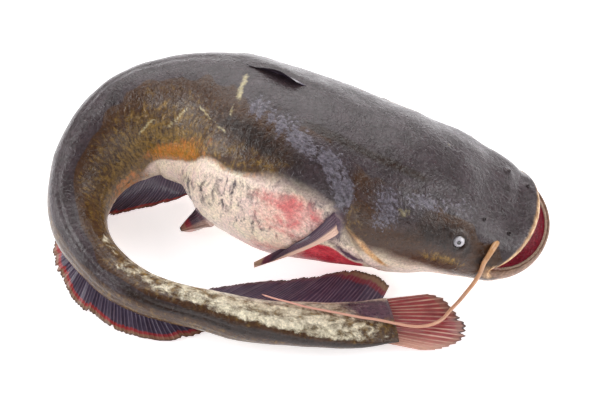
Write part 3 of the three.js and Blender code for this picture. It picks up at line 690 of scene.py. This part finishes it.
def bodyMarks(points, place, degrees):
    # how much of each paint lies where, from 0 to 1
    fromBack = np.abs(degrees - 90)
    spot = {mark: spots(place, degrees if mark in ("darkRight", "purpleRoot") else fromBack, rows)
            for mark, rows in spotTable.items()}
    right = smoothStep(degrees, 88, 92)
    wobble = softNoise(points, 34, 21)
    fine = softNoise(points, 13, 22)
    line = curveOf(bellyLine, place) + 2.5 * wobble
    head = smoothStep(place, 16.9, 17.6)
    edge = curveOf(backEdge, place) + 4 * fine
    # painted sheen: grey over the back down to its edge, with painted wet patches on the shoulder and cheek
    shoulder = hump(place - 16.35, 0.5) * between(fromBack, 28, 42, 74, 90)
    greyAndSheen = strongest([1 - smoothStep(fromBack, edge - 3, edge + 4), shoulder, *spot["greyAndSheen"]])
    # painted glints: broken wet shine painted in columns over the muscle blocks, then in patches on the head
    columns = 0.35 + 0.65 * (0.5 + 0.5 * np.cos(place * sectionLength * 2 * math.pi / 6.2)) ** 0.6
    columns = np.maximum(columns, smoothStep(place, 15.5, 15.9))
    paintedGlint = smoothStep(place, 14.6, 15) * smoothStep(17 - place, 0, 0.3) * columns
    paintedGlint = paintedGlint * hump(fromBack - curveOf([(14.6, 33), (16, 38), (16.5, 46), (17, 62)], place), 10)
    paintedGlint = np.clip(paintedGlint + sum(spot["paintedGlint"]), 0, 1) * (0.9 + 0.25 * fine)
    gold = between(fromBack, edge - 2, edge + 12, line, line + 12)
    gold = gold * (0.3 + 0.7 * smoothStep(fromBack, edge + 8, line - 4))
    gold = gold * (0.45 + 0.55 * smoothStep(15.0 - place, 0, 2.4)) * (1 - 0.7 * head)
    under = fromBack - line
    chest = smoothStep(place, 15.2, 16.1)
    belly = smoothStep(under, -3 - 5 * chest, 5 + 16 * chest) * smoothStep(place, 10.6, 12.2)
    tailBelly = smoothStep(fromBack, 120, 150) * (1 - smoothStep(place, 10.6, 12.2)) * 0.8
    blotch = smoothStep(under, 0, 8) * (1 - 0.5 * smoothStep(under, 30, 70)) * smoothStep(place, 12.4, 13.6)
    blotch = np.maximum(blotch * (0.55 + 0.22 * wobble), 0.85 * chest * hump(under - 10, 14)) * (1 - head)
    orange = strongest([
        between(under, -26, -8, -3, 3) * hump(place - 13.0, 1.5),
        0.55 * hump(under, 3.0) * hump(place - 15.0, 1.0),
        0.7 * smoothStep(fromBack, 92, 112) * hump(place - 10.2, 1.2) * right,
    ])
    blush = hump(np.linalg.norm(points - skinPoint(16.1, 172), axis=-1), 27) * smoothStep(under, 0, 12)
    blush = np.maximum(0.85 * blush, 0.75 * hump(place - 15.9, 0.7) * smoothStep(under, 30, 60))
    # red behind the gill opening, with a purple seam along its top
    redTop = 100 + 14 * smoothStep(place, 16.6, 17.4)
    red = smoothStep(place, 16.05, 16.6) * smoothStep(17.5 - place, 0, 0.15)
    red = red * between(fromBack, redTop, redTop + 6, 150, 170)
    purple = 0.85 * hump(fromBack - redTop + 3, 4) * hump(place - 17.15, 0.35)
    purple = np.clip(purple + sum(spot["purple"] + spot["purpleRoot"]), 0, 1)
    # tan: rim of the gill cover, the lips, and the edge of the far cheek
    upward = np.sin(np.radians(degrees))
    cheekRim = 43 + 9 * (place - 18.5)
    cheekRim = between(fromBack, cheekRim, cheekRim + 4, cheekRim + 6, cheekRim + 12) * (1 - right)
    tan = strongest([
        hump(place - 17.28 - 0.033 * (fromBack - 90), 0.1) * hump(fromBack - 99, 13),
        0.7 * hump(place - 21.9, 0.16) * smoothStep(upward, -0.5, 0.2),
        0.9 * cheekRim * hump(place - 19.2, 1.6), *spot["tan"],
    ])
    mottle = curveOf([(0, 0.3), (0.6, 0.6), (1.4, 1), (3.6, 0.95), (5, 0.7), (6.2, 0.5), (7.5, 0)], place)
    start = curveOf([(0, 6), (4, 12), (7, 28)], place)
    mottle = mottle * smoothStep(fromBack, start, start + 30) * (1 - 0.35 * smoothStep(fromBack, 118, 145))
    mottle = np.maximum(mottle, 0.75 * sum(spot["mottle"])) * (0.25 + 0.75 * right)
    seam = smoothStep(place, 15.6, 16.2) * smoothStep(18.6 - place, 0, 0.5)
    dark = strongest([
        *spot["dark"], *spot["darkRight"], 0.9 * hump(degrees - 119, 3.2) * seam,
        0.85 * hump(fromBack, 15) * smoothStep(6.5 - place, 0, 1.5),
        *(hump(apart - 4.9, 0.9) for apart in fromEyes(points)),
        # painted shade in the nostril pits
        *(hump(apart, 1.3) for apart in fromNostrils(points)),
    ])
    # the lower jaw's lip, band of teeth and gum start at their own places on the lining
    lower = smoothStep(-upward, -0.05, 0.25)
    ragged = 0.4 * softNoise(points, 9, 23) + 0.2 * softNoise(points, 4, 24)
    pale = [0.8 * hump(place - 22.0, 0.05) * (1 - lower)]
    for start, end, width in scars:
        apart = distanceTo(points + ragged[..., None], skinPoint(*start), skinPoint(*end))
        pale.append(0.62 * hump(apart, width))
    for section, angle, width in ((17.95, 147, 4.2), (18.8, 81, 1.8)):
        apart = np.linalg.norm(points + 1.5 * ragged[..., None] - skinPoint(section, angle), axis=-1)
        pale.append(0.42 * hump(apart, width))
    gum = smoothStep(place, 22.1, 22.2) * (1 - lower) + smoothStep(place, 22.44, 22.5) * lower
    return {
        "gold": np.maximum(gold, spot["gold"][0]), "mottle": mottle, "greyAndSheen": greyAndSheen,
        "belly": np.maximum(belly, tailBelly), "blotch": blotch, "paintedGlint": paintedGlint,
        "orange": orange, "blush": blush, "red": red, "tan": tan, "dark": dark, "purple": purple,
        "pale": strongest(pale), "lip": between(place, 21.5, 21.8, 22.27, 22.31) * lower,
        "gum": np.clip(gum, 0, 1), "toothBand": between(place, 22.27, 22.31, 22.45, 22.5) * lower,
    }


def makeBody():
    points, place, degrees = bodyGrid()
    normals = gridNormals(points, True)
    marks = bodyMarks(points, place, degrees)
    points = onTable(points + normals * bodyDetail(points, place, degrees)[..., None])
    # millimetres along the fish and round it from the back, for patterns that follow the skin
    steps = np.linalg.norm(np.diff(points, axis=0), axis=-1).mean(1)
    along = np.concatenate([[0], np.cumsum(steps)])[:, None]
    closed = np.concatenate([points, points[:, :1]], axis=1)
    girth = np.cumsum(np.linalg.norm(np.diff(closed, axis=1), axis=-1), 1)
    around = np.concatenate([np.zeros((len(points), 1)), girth], 1)
    around = around - around[:, [around.shape[1] // 2]]
    uv = np.stack([np.broadcast_to(along, around.shape), around], -1) / 1000
    return meshPiece("skin", points, skinMaterial, uv, marks, ["body"])


makeBody()
print("body made")

# ---- fins


def fullTurn(x):
    return x * 2 * math.pi


def finRays(fin):
    # how far across the fin each row lies, from 0 to 1, and the same counted in rays
    across = np.linspace(0, 1, fin["rays"] * fin["samples"] + 1)
    return across, across * fin["rays"]


def ruled(roots, tips, share):
    return roots[:, None] + (tips - roots)[:, None] * share[..., None]


def finSheet(name, fin, centre, rays, marks, flip=False, thickness=None):
    # a thin closed sheet about a grid of points: rows cross the rays, columns run out to the edge.
    # Top and underside stand half the thickness off along the normal, and join at the edge.
    out = np.linspace(0, 1, centre.shape[1])
    if thickness is None:
        thickness = rayedThickness(rays, out ** fin.get("crowding", 1), fin)
    if flip:
        centre, thickness, rays = centre[::-1], thickness[::-1], rays[::-1]
        marks = {mark: values[::-1] for mark, values in marks.items()}
    normals = gridNormals(centre, False)
    top, bottom = (centre + normals * side * thickness[..., None] for side in (1, -1))
    ring = np.concatenate([top, bottom[:, ::-1]], axis=1)
    ring[..., 2] = np.maximum(ring[..., 2], 0.35)
    out = np.concatenate([out, out[::-1], out[:1]])
    uv = np.stack(np.broadcast_arrays(rays[:, None], out[None]), -1)
    marks = {mark: np.broadcast_to(values, centre.shape[:2]) for mark, values in marks.items()}
    marks = {mark: np.concatenate([values, values[:, ::-1]], axis=1) for mark, values in marks.items()}
    return meshPiece(name, ring, fin["material"], uv, marks, [fin["node"]])


def rayedThickness(rays, out, fin):
    # half thickness: thin web with a rounded ridge on each ray, all thinning towards the edge
    ridge = np.maximum(np.cos(fullTurn(rays % 1 - 0.5)), 0)[:, None] ** 2
    return (fin["web"] + (fin["ray"] - fin["web"]) * ridge) * (1 - out[None]) + fin["tip"] * out[None]


def edgeLoss(fin, rays):
    # share of a fin that is missing at its edge: a notch between rays, and tears of random depth
    tears = fin["rays"] * fin["tearsPerRay"] + 1
    depth = np.random.default_rng(fin["seed"]).uniform(0, 1, tears) ** 2
    tear = np.interp(rays * fin["tearsPerRay"], np.arange(tears), depth)
    return fin["notch"] * (0.5 + 0.5 * np.cos(fullTurn(rays))) + fin["tear"] * tear


# Long fin under the tail: section where a ray starts on the belly line, then that ray's tip
analRays = [
    (13.35, (-78, 26, 5)), (13, (-88, 22, 3)), (12.5, (-101, 16.5, 2)), (12, (-114, 12, 2)),
    (11.5, (-127, 8, 2)), (11, (-141, 4, 2)), (10.5, (-154, 2, 2)), (10, (-167, -1, 2)),
    (9.5, (-175, -11, 2)), (9, (-177, -25, 2)), (8.5, (-174, -39, 2)), (8, (-168, -53, 2)),
    (7, (-152, -77, 2)), (6, (-124, -96, 2)), (5.5, (-100, -102.5, 2)), (5.2, (-82, -101.5, 1.8)),
    (5.08, (-67, -95, 1.6)), (5, (-61, -84, 1.6)), (4.92, (-64, -71, 1.6)), (4.75, (-67, -61, 2)),
    (4.4, (-56, -58, 2.5)), (4, (-43, -56, 3)), (3, (-11, -52, 3)), (2, (17, -47.5, 3)),
    (1.5, (29, -44.5, 3.5)), (1, (41, -46.5, 3.5)), (0.5, (51, -51.5, 4)), (0.12, (57, -59, 4.5)),
]
analFin = {
    "node": "anal_fin", "slot": "fin_webbing", "material": darkWebbing,
    "rays": 150, "samples": 4, "columns": 26, "web": 0.3, "ray": 0.52, "tip": 0.18, "notch": 0.04,
    "tear": 0.07, "tearsPerRay": 1, "seed": 5, "lean": 0.55, "crowding": 0.85,
}
# How vivid the red band and the pale margin are, by section
analRedBand = [(0, 0.5), (1.2, 0.5), (1.8, 0.12), (4.6, 0.05), (5.1, 0.8), (6, 1), (10, 1), (13.4, 0.9)]
analMargin = [(0, 1), (1.3, 1), (2.0, 0.3), (4.6, 0.2), (5.1, 0.7), (6, 0.9), (10, 0.8), (13.4, 0.35)]


def evenSteps(curves, last, count):
    # steps from 0 to last that divide the mean length of the curves evenly
    dense = np.linspace(0, last, 800)
    length = sum(np.linalg.norm(np.diff(curve(dense), axis=0), axis=1) for curve in curves)
    total = np.concatenate([[0], np.cumsum(length)])
    return np.interp(np.linspace(0, total[-1], count), total, dense)


def makeAnalFin():
    # each ray runs from just inside the belly line to its tip, dropping quickly onto the table
    fin = analFin
    sections, stops = zip(*analRays)
    last = len(analRays) - 1

    def rootCurve(s):
        return skinPoint(smoothThrough(sections, s), 270.0, -2)

    rays = finRays(fin)[1]
    s = evenSteps([rootCurve, lambda s: smoothThrough(stops, s)], last, len(rays))
    u = smoothThrough(sections, s)
    # the rays lean towards the tail: each root stands a little ahead of its tip
    ahead = fin["lean"] * smoothStep(s, 0, 3) * smoothStep(last - s, 0, 2)
    roots, tips = rootCurve(s - ahead), smoothThrough(stops, s)
    ragged = 0.5 + 0.5 * softNoise(tips, 16, 6)
    reach = 1 - edgeLoss(fin, rays) * ragged - 0.05 * smoothStep(softNoise(tips, 40, 7), 0.6, 1.4)
    out = np.linspace(0, 1, fin["columns"]) ** fin["crowding"]
    share = reach[:, None] * out[None]
    centre = ruled(roots, tips, share)
    centre[..., 2] = tips[:, None, 2] + (roots - tips)[:, None, 2] * (1 - share) ** 3.2
    waves = 0.55 * np.sin(rays * 0.83) + 0.35 * np.sin(rays * 2.1)
    centre[..., 2] += waves[:, None] * out[None] * (1 - 0.4 * out[None])
    length = np.linalg.norm(tips - roots, axis=-1) / (1 + 0.8 * smoothStep(1.8 - u, 0, 0.8))
    marks = {
        "fromEdge": (reach * length)[:, None] * (1 - out[None]),
        "redBand": curveOf(analRedBand, u)[:, None], "margin": curveOf(analMargin, u)[:, None],
        "darkTip": np.full((len(rays), 1), 0.8),
    }
    return finSheet("analFin", fin, centre, rays, marks, True)


tailFinRoot = [(52, -73, 7), (54, -82, 8), (55, -92, 8.5), (56, -101, 8.5), (57, -109, 7.5)]
tailFinEdge = [
    (84, -66.5, 5), (92, -69, 5), (98, -77, 5), (103, -86, 5), (108, -93, 4.5),
    (106, -101, 4), (98, -107, 3.5), (88, -111, 3.5), (76, -112, 4),
]
tailFin = {
    "node": "caudal_fin", "slot": "red_fin", "material": redWebbing,
    "rays": 17, "samples": 12, "columns": 30, "web": 0.35, "ray": 0.8, "tip": 0.2, "notch": 0.03,
    "tear": 0.07, "tearsPerRay": 2, "seed": 8,
}


def makeTailFin():
    # ruled from the end of the tail to a ragged round edge
    fin = tailFin
    s, rays = finRays(fin)
    roots = smoothThrough(tailFinRoot, s * (len(tailFinRoot) - 1)) - np.array([3, 0, 0])
    tips = smoothThrough(tailFinEdge, s * (len(tailFinEdge) - 1))
    reach = 1 - edgeLoss(fin, rays)
    out = np.linspace(0, 1, fin["columns"])
    centre = ruled(roots, tips, reach[:, None] * out[None])
    centre[..., 2] += 0.7 * np.sin(rays * 1.3)[:, None] * np.sin(out * math.pi)[None]
    length = np.linalg.norm(tips - roots, axis=-1)
    marks = {
        "fromEdge": (reach * length)[:, None] * (1 - out[None]) * 0.55,
        "margin": np.full((len(rays), 1), 0.5), "darkTip": (0.35 + 0.6 * hump(s - 0.5, 0.25))[:, None],
        "spine": (0.75 * smoothStep(s, 0.6, 0.95))[:, None],
    }
    return finSheet("tailFin", fin, centre, rays, marks, True)


backFin = {
    "node": "dorsal_fin", "slot": "fin_webbing", "material": darkWebbing,
    "from": 15.62, "to": 14.8, "rays": 4, "samples": 12, "columns": 16, "web": 0.3, "ray": 0.6, "tip": 0.2,
}


def makeBackFin():
    # a small fin folded back into its slit: each ray leans along the back
    fin = backFin
    s, rays = finRays(fin)
    u = fin["from"] + (fin["to"] - fin["from"]) * s
    rise = 1.0 + 4.1 * np.sin(math.pi * np.minimum(s + 0.15, 1))
    tips = np.stack([skinPoint(a - 0.6 * (0.3 + 0.7 * b), 97.0, c) for a, b, c in zip(u, s, rise)])
    out = np.linspace(0, 1, fin["columns"])[None]
    marks = {"fromEdge": 2 * (1 - out) + 0 * rays[:, None], "darkTip": np.full((len(rays), 1), 0.8)}
    return finSheet("backFin", fin, ruled(skinPoint(u, 90.0, -2), tips, out), rays, marks)


# What the paired fins share
pairedFin = {
    "slot": "red_fin", "material": pairedWebbing, "samples": 12, "columns": 40,
    "web": 0.3, "ray": 0.5, "tip": 0.2,
}
# Paired fins: where the front and rear edges leave the skin, then points down each edge. The spine
# runs along the front edge; how pale it is, how dark the tip and how pale the margin differ
pairedFins = {
    "pectoralFinRight": {
        "node": "pectoral_fin_right", "root": ((16.79, 180), (16.66, 166)), "rays": 7,
        "spine": 1.0, "darkTip": 0.1, "margin": 0.9, "redBand": 0.2,
        "front": [(6, -68, 60), (-10, -66, 47), (-26, -58.5, 29), (-35, -57, 22)],
        "rear": [(3, -66.5, 67), (-11, -65.5, 54), (-25, -60.5, 33), (-35, -57, 27.5)],
    },
    "pectoralFinLeft": {
        "node": "pectoral_fin_left", "root": ((16.85, -24), (16.6, -8)), "rays": 9,
        "spine": 0.9, "darkTip": 0.4, "margin": 0.7, "redBand": 0.5,
        "front": [(22, 74, 19), (-2, 84, 8), (-14, 86, 4)],
        "rear": [(16, 82, 36), (-2, 91, 20), (-13, 90, 7)],
    },
    "pelvicFinRight": {
        "node": "pelvic_fin_right", "root": ((14.85, 224), (14.42, 216)), "rays": 8,
        "spine": 0.6, "darkTip": 1.0, "margin": 0.6, "redBand": 0.8,
        "front": [(-69, -19, 18), (-80, -14, 7), (-88, -10.5, 3)],
        "rear": [(-77, -8, 22), (-84, -5, 10), (-89, -8, 4)],
    },
    "pelvicFinLeft": {
        "node": "pelvic_fin_left", "root": ((14.8, 318), (14.4, 325)), "rays": 8,
        "spine": 0.6, "darkTip": 1.0, "margin": 0.6, "redBand": 0.8,
        "front": [(-42, 62, 3.5), (-60, 78, 2)],
        "rear": [(-50, 72, 7), (-60, 80, 3.5), (-63, 80, 2.5)],
    },
}


def makePairedFin(name, fin):
    # ruled between the front edge, which holds the spine, and the rear edge; rays run out from the root
    fin = {**pairedFin, **fin}
    out = np.linspace(0, 1, fin["columns"])
    edges = []
    for (u, angle), route in zip(fin["root"], (fin["front"], fin["rear"])):
        stops = np.array([skinPoint(u, angle, -7), skinPoint(u, angle, 1), *route], float)
        edges.append(smoothThrough(stops, out * (len(stops) - 1)))
    across, rays = finRays(fin)
    centre = edges[0][None] + (edges[1] - edges[0])[None] * across[:, None, None]
    length = np.linalg.norm(np.diff(edges[0], axis=0), axis=-1).sum()
    spine = (1 - smoothStep(across, 0.3, 0.48))[:, None]
    marks = {mark: np.full((len(rays), 1), fin[mark]) for mark in ("redBand", "margin", "darkTip")}
    marks["fromEdge"] = (1 - out[None]) * length * 0.35 + 0 * rays[:, None]
    marks["spine"] = fin["spine"] * spine * (1 - 0.3 * out[None])
    bone = 0.78 * hump(across, 0.14)[:, None] * (1 - 0.6 * out[None])
    thickness = np.maximum(rayedThickness(rays, out ** 2, fin), bone)
    centre[..., 2] = np.maximum(centre[..., 2], 1.2)
    return finSheet(name, fin, centre, rays, marks, thickness=thickness)


makeAnalFin()
makeTailFin()
makeBackFin()
for finName, fin in pairedFins.items():
    makePairedFin(finName, fin)
print("fins made")

# ---- barbels, with the frame's own routes

barbels = {
    "maxillaryBarbelRight": ("maxillary_barbel_right", 1.8, 0.6, [
        (128, -49.5, 42), (123.6, -59, 45.6), (120, -64.2, 43), (117.4, -66.9, 39.5), (115.4, -68.8, 31),
        (112, -69.6, 21), (107.8, -70.8, 12.5), (103, -74.5, 7.5), (97, -82.5, 9), (91, -91, 10.5),
        (84, -96.5, 12), (76, -99, 12.8), (68, -99, 13.4),
        (59, -98, 14.8), (47, -97.6, 18.4), (36, -97.8, 21.4), (24.5, -97, 24), (12, -95.5, 26),
        (0, -93.5, 27.2), (-11, -90.5, 28.2), (-21, -87.5, 28.4), (-29, -84, 28),
    ]),
    "maxillaryBarbelLeft": ("maxillary_barbel_left", 1.8, 0.6, [
        (145.8, 18.5, 33), (146.4, 24, 26), (143.5, 30, 16.5), (137, 37, 8), (126, 44, 3.6), (104, 52, 2.2),
        (72, 68, 2), (42, 79, 2), (10, 90, 2), (-20, 97, 1.8), (-48, 97, 1.6),
    ]),
    "chinBarbelInnerRight": ("mandibular_barbel_inner_right", 1.1, 0.5, [
        (149.5, -31, 9), (153, -31.5, 4.5), (156, -31, 2), (158.5, -28.5, 1.6), (160.3, -24.5, 1.5),
        (160.8, -20, 1.4),
    ]),
    "chinBarbelInnerLeft": ("mandibular_barbel_inner_left", 1.1, 0.5, [
        (151, -21, 9), (155, -19.5, 4.5), (159.5, -16.5, 2), (163, -11, 1.6), (165, -4, 1.6), (165, 2, 1.4),
    ]),
    "chinBarbelOuterRight": ("mandibular_barbel_outer_right", 1.2, 0.5, [
        (137, -41.5, 9), (141, -42, 4.5), (145, -40.5, 2), (148.5, -37.5, 1.6), (151, -35, 1.4),
    ]),
    "chinBarbelOuterLeft": ("mandibular_barbel_outer_left", 1.2, 0.5, [
        (149, 1, 9), (152.5, 5, 4.5), (155, 11, 2.2), (155.5, 18, 1.8), (152.5, 26, 1.6), (146, 32, 1.4),
    ]),
}


def ringOf(count):
    # cosine and sine of even steps round a circle, ready to multiply two directions
    angle = fullTurn(np.arange(count) / count)[:, None]
    return np.cos(angle), np.sin(angle)


def tubeUv(share, sides):
    return np.stack(np.broadcast_arrays(share[:, None], np.linspace(0, 1, sides + 1)[None]), -1)


def makeBarbel(name, node, rootRadius, tipRadius, route):
    # a round section carried along a smooth route, thinning evenly from root to tip
    steps, sides = 160, 14
    centres = smoothThrough(route, np.linspace(0, len(route) - 1, steps))
    along = unit(np.gradient(centres, axis=0))
    side = unit(np.cross(np.array([0, 0, 1.0]), along))
    top = np.cross(along, side)
    share = np.linspace(0, 1, steps)
    radius = rootRadius + (tipRadius - rootRadius) * share + 0.3 * rootRadius * hump(share, 0.07)
    radius = (radius - 0.06) * (1 + 0.02 * softNoise(centres, 7, 31))
    radius = radius * (1 - smoothStep(share, 0.985, 1) * 0.7)
    cosine, sine = ringOf(sides)
    points = centres[:, None] + (cosine * side[:, None] + sine * top[:, None]) * radius[:, None, None]
    points[..., 2] = np.maximum(points[..., 2], 0.3)
    return meshPiece(name, points, barbelMaterial, tubeUv(share, sides), None, [node])


for barbelName, (node, rootRadius, tipRadius, route) in barbels.items():
    makeBarbel(barbelName, node, rootRadius, tipRadius, route)
print("barbels made")

# ---- eyes, nostrils and teeth


def roundPiece(name, centre, axis, profile, material, sides, marks=None, replaced=()):
    # a profile of radius and height carried round an axis
    axis = unit(axis)
    side = unit(np.cross(axis, np.array([1.0, 0, 0.2])))
    cosine, sine = ringOf(sides)
    circle = cosine * side + sine * np.cross(axis, side)
    points = centre + profile[:, 0, None, None] * circle + profile[:, 1, None, None] * axis
    uv = tubeUv(np.linspace(0, 1, len(profile)), sides) / 1000
    return meshPiece(name, points, material, uv, marks, replaced)


def makeEye(name, node, degrees):
    # a ball with a slightly proud cornea; the pupil looks straight out of the socket
    turn = np.radians(np.linspace(178.5, 1.5, 60))
    radius = eye["radius"] - 0.35 + 0.35 * hump(turn, 0.6)
    profile = np.stack([radius * np.sin(turn), radius * np.cos(turn)], -1)
    centre = skinPoint(eye["section"], degrees, -eye["inset"])
    outward = skinPoint(eye["section"], degrees, 4.0) - skinPoint(eye["section"], degrees)
    marks = {"fromPupil": np.degrees(turn)[:, None]}
    return roundPiece(name, centre, outward, profile, eyeMaterial, 48, marks, [node])


makeEye("eyeRight", "eye_right", eye["angle"])
makeEye("eyeLeft", "eye_left", 180 - eye["angle"])

nostrilTube = np.array([   # radius and height: up the outside, over the rim and down the hole
    (1.7, -1.2), (1.5, 0.2), (1.25, 1.0), (1.15, 1.5), (1.0, 1.75), (0.8, 1.75), (0.62, 1.4), (0.5, 0.4),
    (0.3, 0.0),
])


def makeNostrils():
    for name, (section, angle) in nostrils.items():
        centre = surfacePoint(section, angle)
        across = surfacePoint(section, angle - 3) - surfacePoint(section, angle + 3)
        outward = np.cross(surfacePoint(section + 0.05, angle) - surfacePoint(section - 0.05, angle), across)
        # painted shade down the hole of each nostril, and the grey sheen painted on its mound
        hole = np.array([0, 0, 0, 0, 0, 0.5, 1, 1, 1])[:, None]
        profile = nostrilTube * (1.0, 0.75 if "Rear" in name else 1.1)
        marks = {"greyAndSheen": 0.7 + 0 * hole, "dark": hole}
        roundPiece(name, centre, outward, profile, skinMaterial, 20, marks)


# Where the rows stand on the lining, and millimetres of each tooth
teeth = {"across": 110, "rows": [5.0, 5.6, 6.2, 6.8], "radius": 0.28, "height": 0.8, "sides": 5}
# Dry ivory enamel, smooth enough for a small glint
toothMaterial = newMaterial("toothEnamel", {"Base Color": hexColour("d9cbb6"), "Roughness": 0.3})[0]


def makeTeeth(name, fromDegrees, toDegrees, direction):
    # rows of tiny cones that stand on the band of gum just inside the lip
    random = np.random.default_rng(17)
    degrees, rows = np.meshgrid(np.linspace(fromDegrees, toDegrees, teeth["across"]), teeth["rows"])
    degrees = degrees + random.uniform(-0.5, 0.5, degrees.shape)
    centres = liningPoint(rows + random.uniform(-0.2, 0.2, rows.shape), degrees).reshape(-1, 3)
    sides = teeth["sides"]
    cosine, sine = ringOf(sides)
    circle = np.concatenate([cosine, sine, 0 * sine], -1) * teeth["radius"]
    up = np.array([0, 0, direction])
    centres = centres[:, None]
    points = np.concatenate([centres + circle - 0.6 * up, centres + teeth["height"] * up], axis=1)
    k = np.arange(sides)
    walls = np.stack([k, (k + 1) % sides, np.full(sides, sides)], -1)[:, ::direction]
    start = (np.arange(len(centres)) * (sides + 1))[:, None]
    faces = (start[..., None] + walls).reshape(-1, 3).tolist() + (start + k[::-direction]).tolist()
    mesh = bpy.data.meshes.new(name)
    mesh.from_pydata(placed(points.reshape(-1, 3)).tolist(), [], faces)
    return ridingPiece(name, mesh, toothMaterial)


makeNostrils()
makeTeeth("lowerTeeth", 200, 340, 1)
makeTeeth("upperTeeth", 20, 160, -1)
print("eyes, nostrils and teeth made")

# ---- surface, light and camera

stageLook = {"floor": "f6f5f7", "floorGlow": 0.62, "floorSize": 6.0, "world": 0.24}


def makeFloor():
    # matt white card with a faint glow of its own, which keeps the shadows as light as in a white room
    mesh = bpy.data.meshes.new("floor")
    half = stageLook["floorSize"] / 2
    corners = [(-half, -half, 0), (half, -half, 0), (half, half, 0), (-half, half, 0)]
    mesh.from_pydata(corners, [], [(0, 1, 2, 3)])
    white = hexColour(stageLook["floor"])
    mesh.materials.append(newMaterial("mattWhiteCard", {
        "Base Color": white, "Roughness": 0.9,
        "Emission Color": white, "Emission Strength": stageLook["floorGlow"],
    })[0])
    addObject("floor", mesh)


softLights = {   # watts, width, depth, where it stands, what it faces
    "overhead": (28, 2.2, 1.5, (-0.1, 0.95, 1.05), (0.0, 0.0, 0.05)),
    "leftFill": (14, 0.9, 0.9, (-1.4, -0.2, 0.8), (0.0, 0.0, 0.05)),
    "rightFill": (12, 0.9, 0.9, (1.4, -0.2, 0.8), (0.0, 0.0, 0.05)),
    "frontFill": (14, 2.4, 0.6, (0.2, -2.0, 0.8), (0.0, 0.0, 0.05)),
}


def aim(thing, place, target):
    thing.location = place
    direction = np.array(target, float) - np.array(place, float)
    flat = math.hypot(direction[0], direction[1])
    turn = math.atan2(direction[1], direction[0]) - math.pi / 2
    thing.rotation_euler = (math.atan2(flat, -direction[2]), 0, turn)


def makeLights():
    for name, (watts, width, depth, place, target) in softLights.items():
        light = bpy.data.lights.new(name, "AREA")
        light.shape = "RECTANGLE"
        light.energy, light.size, light.size_y = watts, width, depth
        aim(addObject(name, light), place, target)
    world = bpy.data.worlds.new("softWhiteRoom")
    world.use_nodes = True
    background = world.node_tree.nodes["Background"]
    background.inputs[0].default_value = hexColour("ffffff")
    background.inputs[1].default_value = stageLook["world"]
    bpy.context.scene.world = world


cameraView = {"lens": 85, "elevation": 50, "distance": 1.0115, "targetHeight": 0.02}


def makeCamera():
    data = bpy.data.cameras.new("camera")
    data.lens, data.sensor_width = cameraView["lens"], 36
    camera = addObject("camera", data)
    target = np.array([shift[0] / 1000, shift[1] / 1000, cameraView["targetHeight"]])
    lean = math.radians(cameraView["elevation"])
    place = target + cameraView["distance"] * np.array([0, -math.cos(lean), math.sin(lean)])
    aim(camera, place.tolist(), target.tolist())
    bpy.context.scene.camera = camera
    bpy.context.scene.view_settings.view_transform = "Standard"


makeFloor()
makeLights()
makeCamera()
print("stage made")
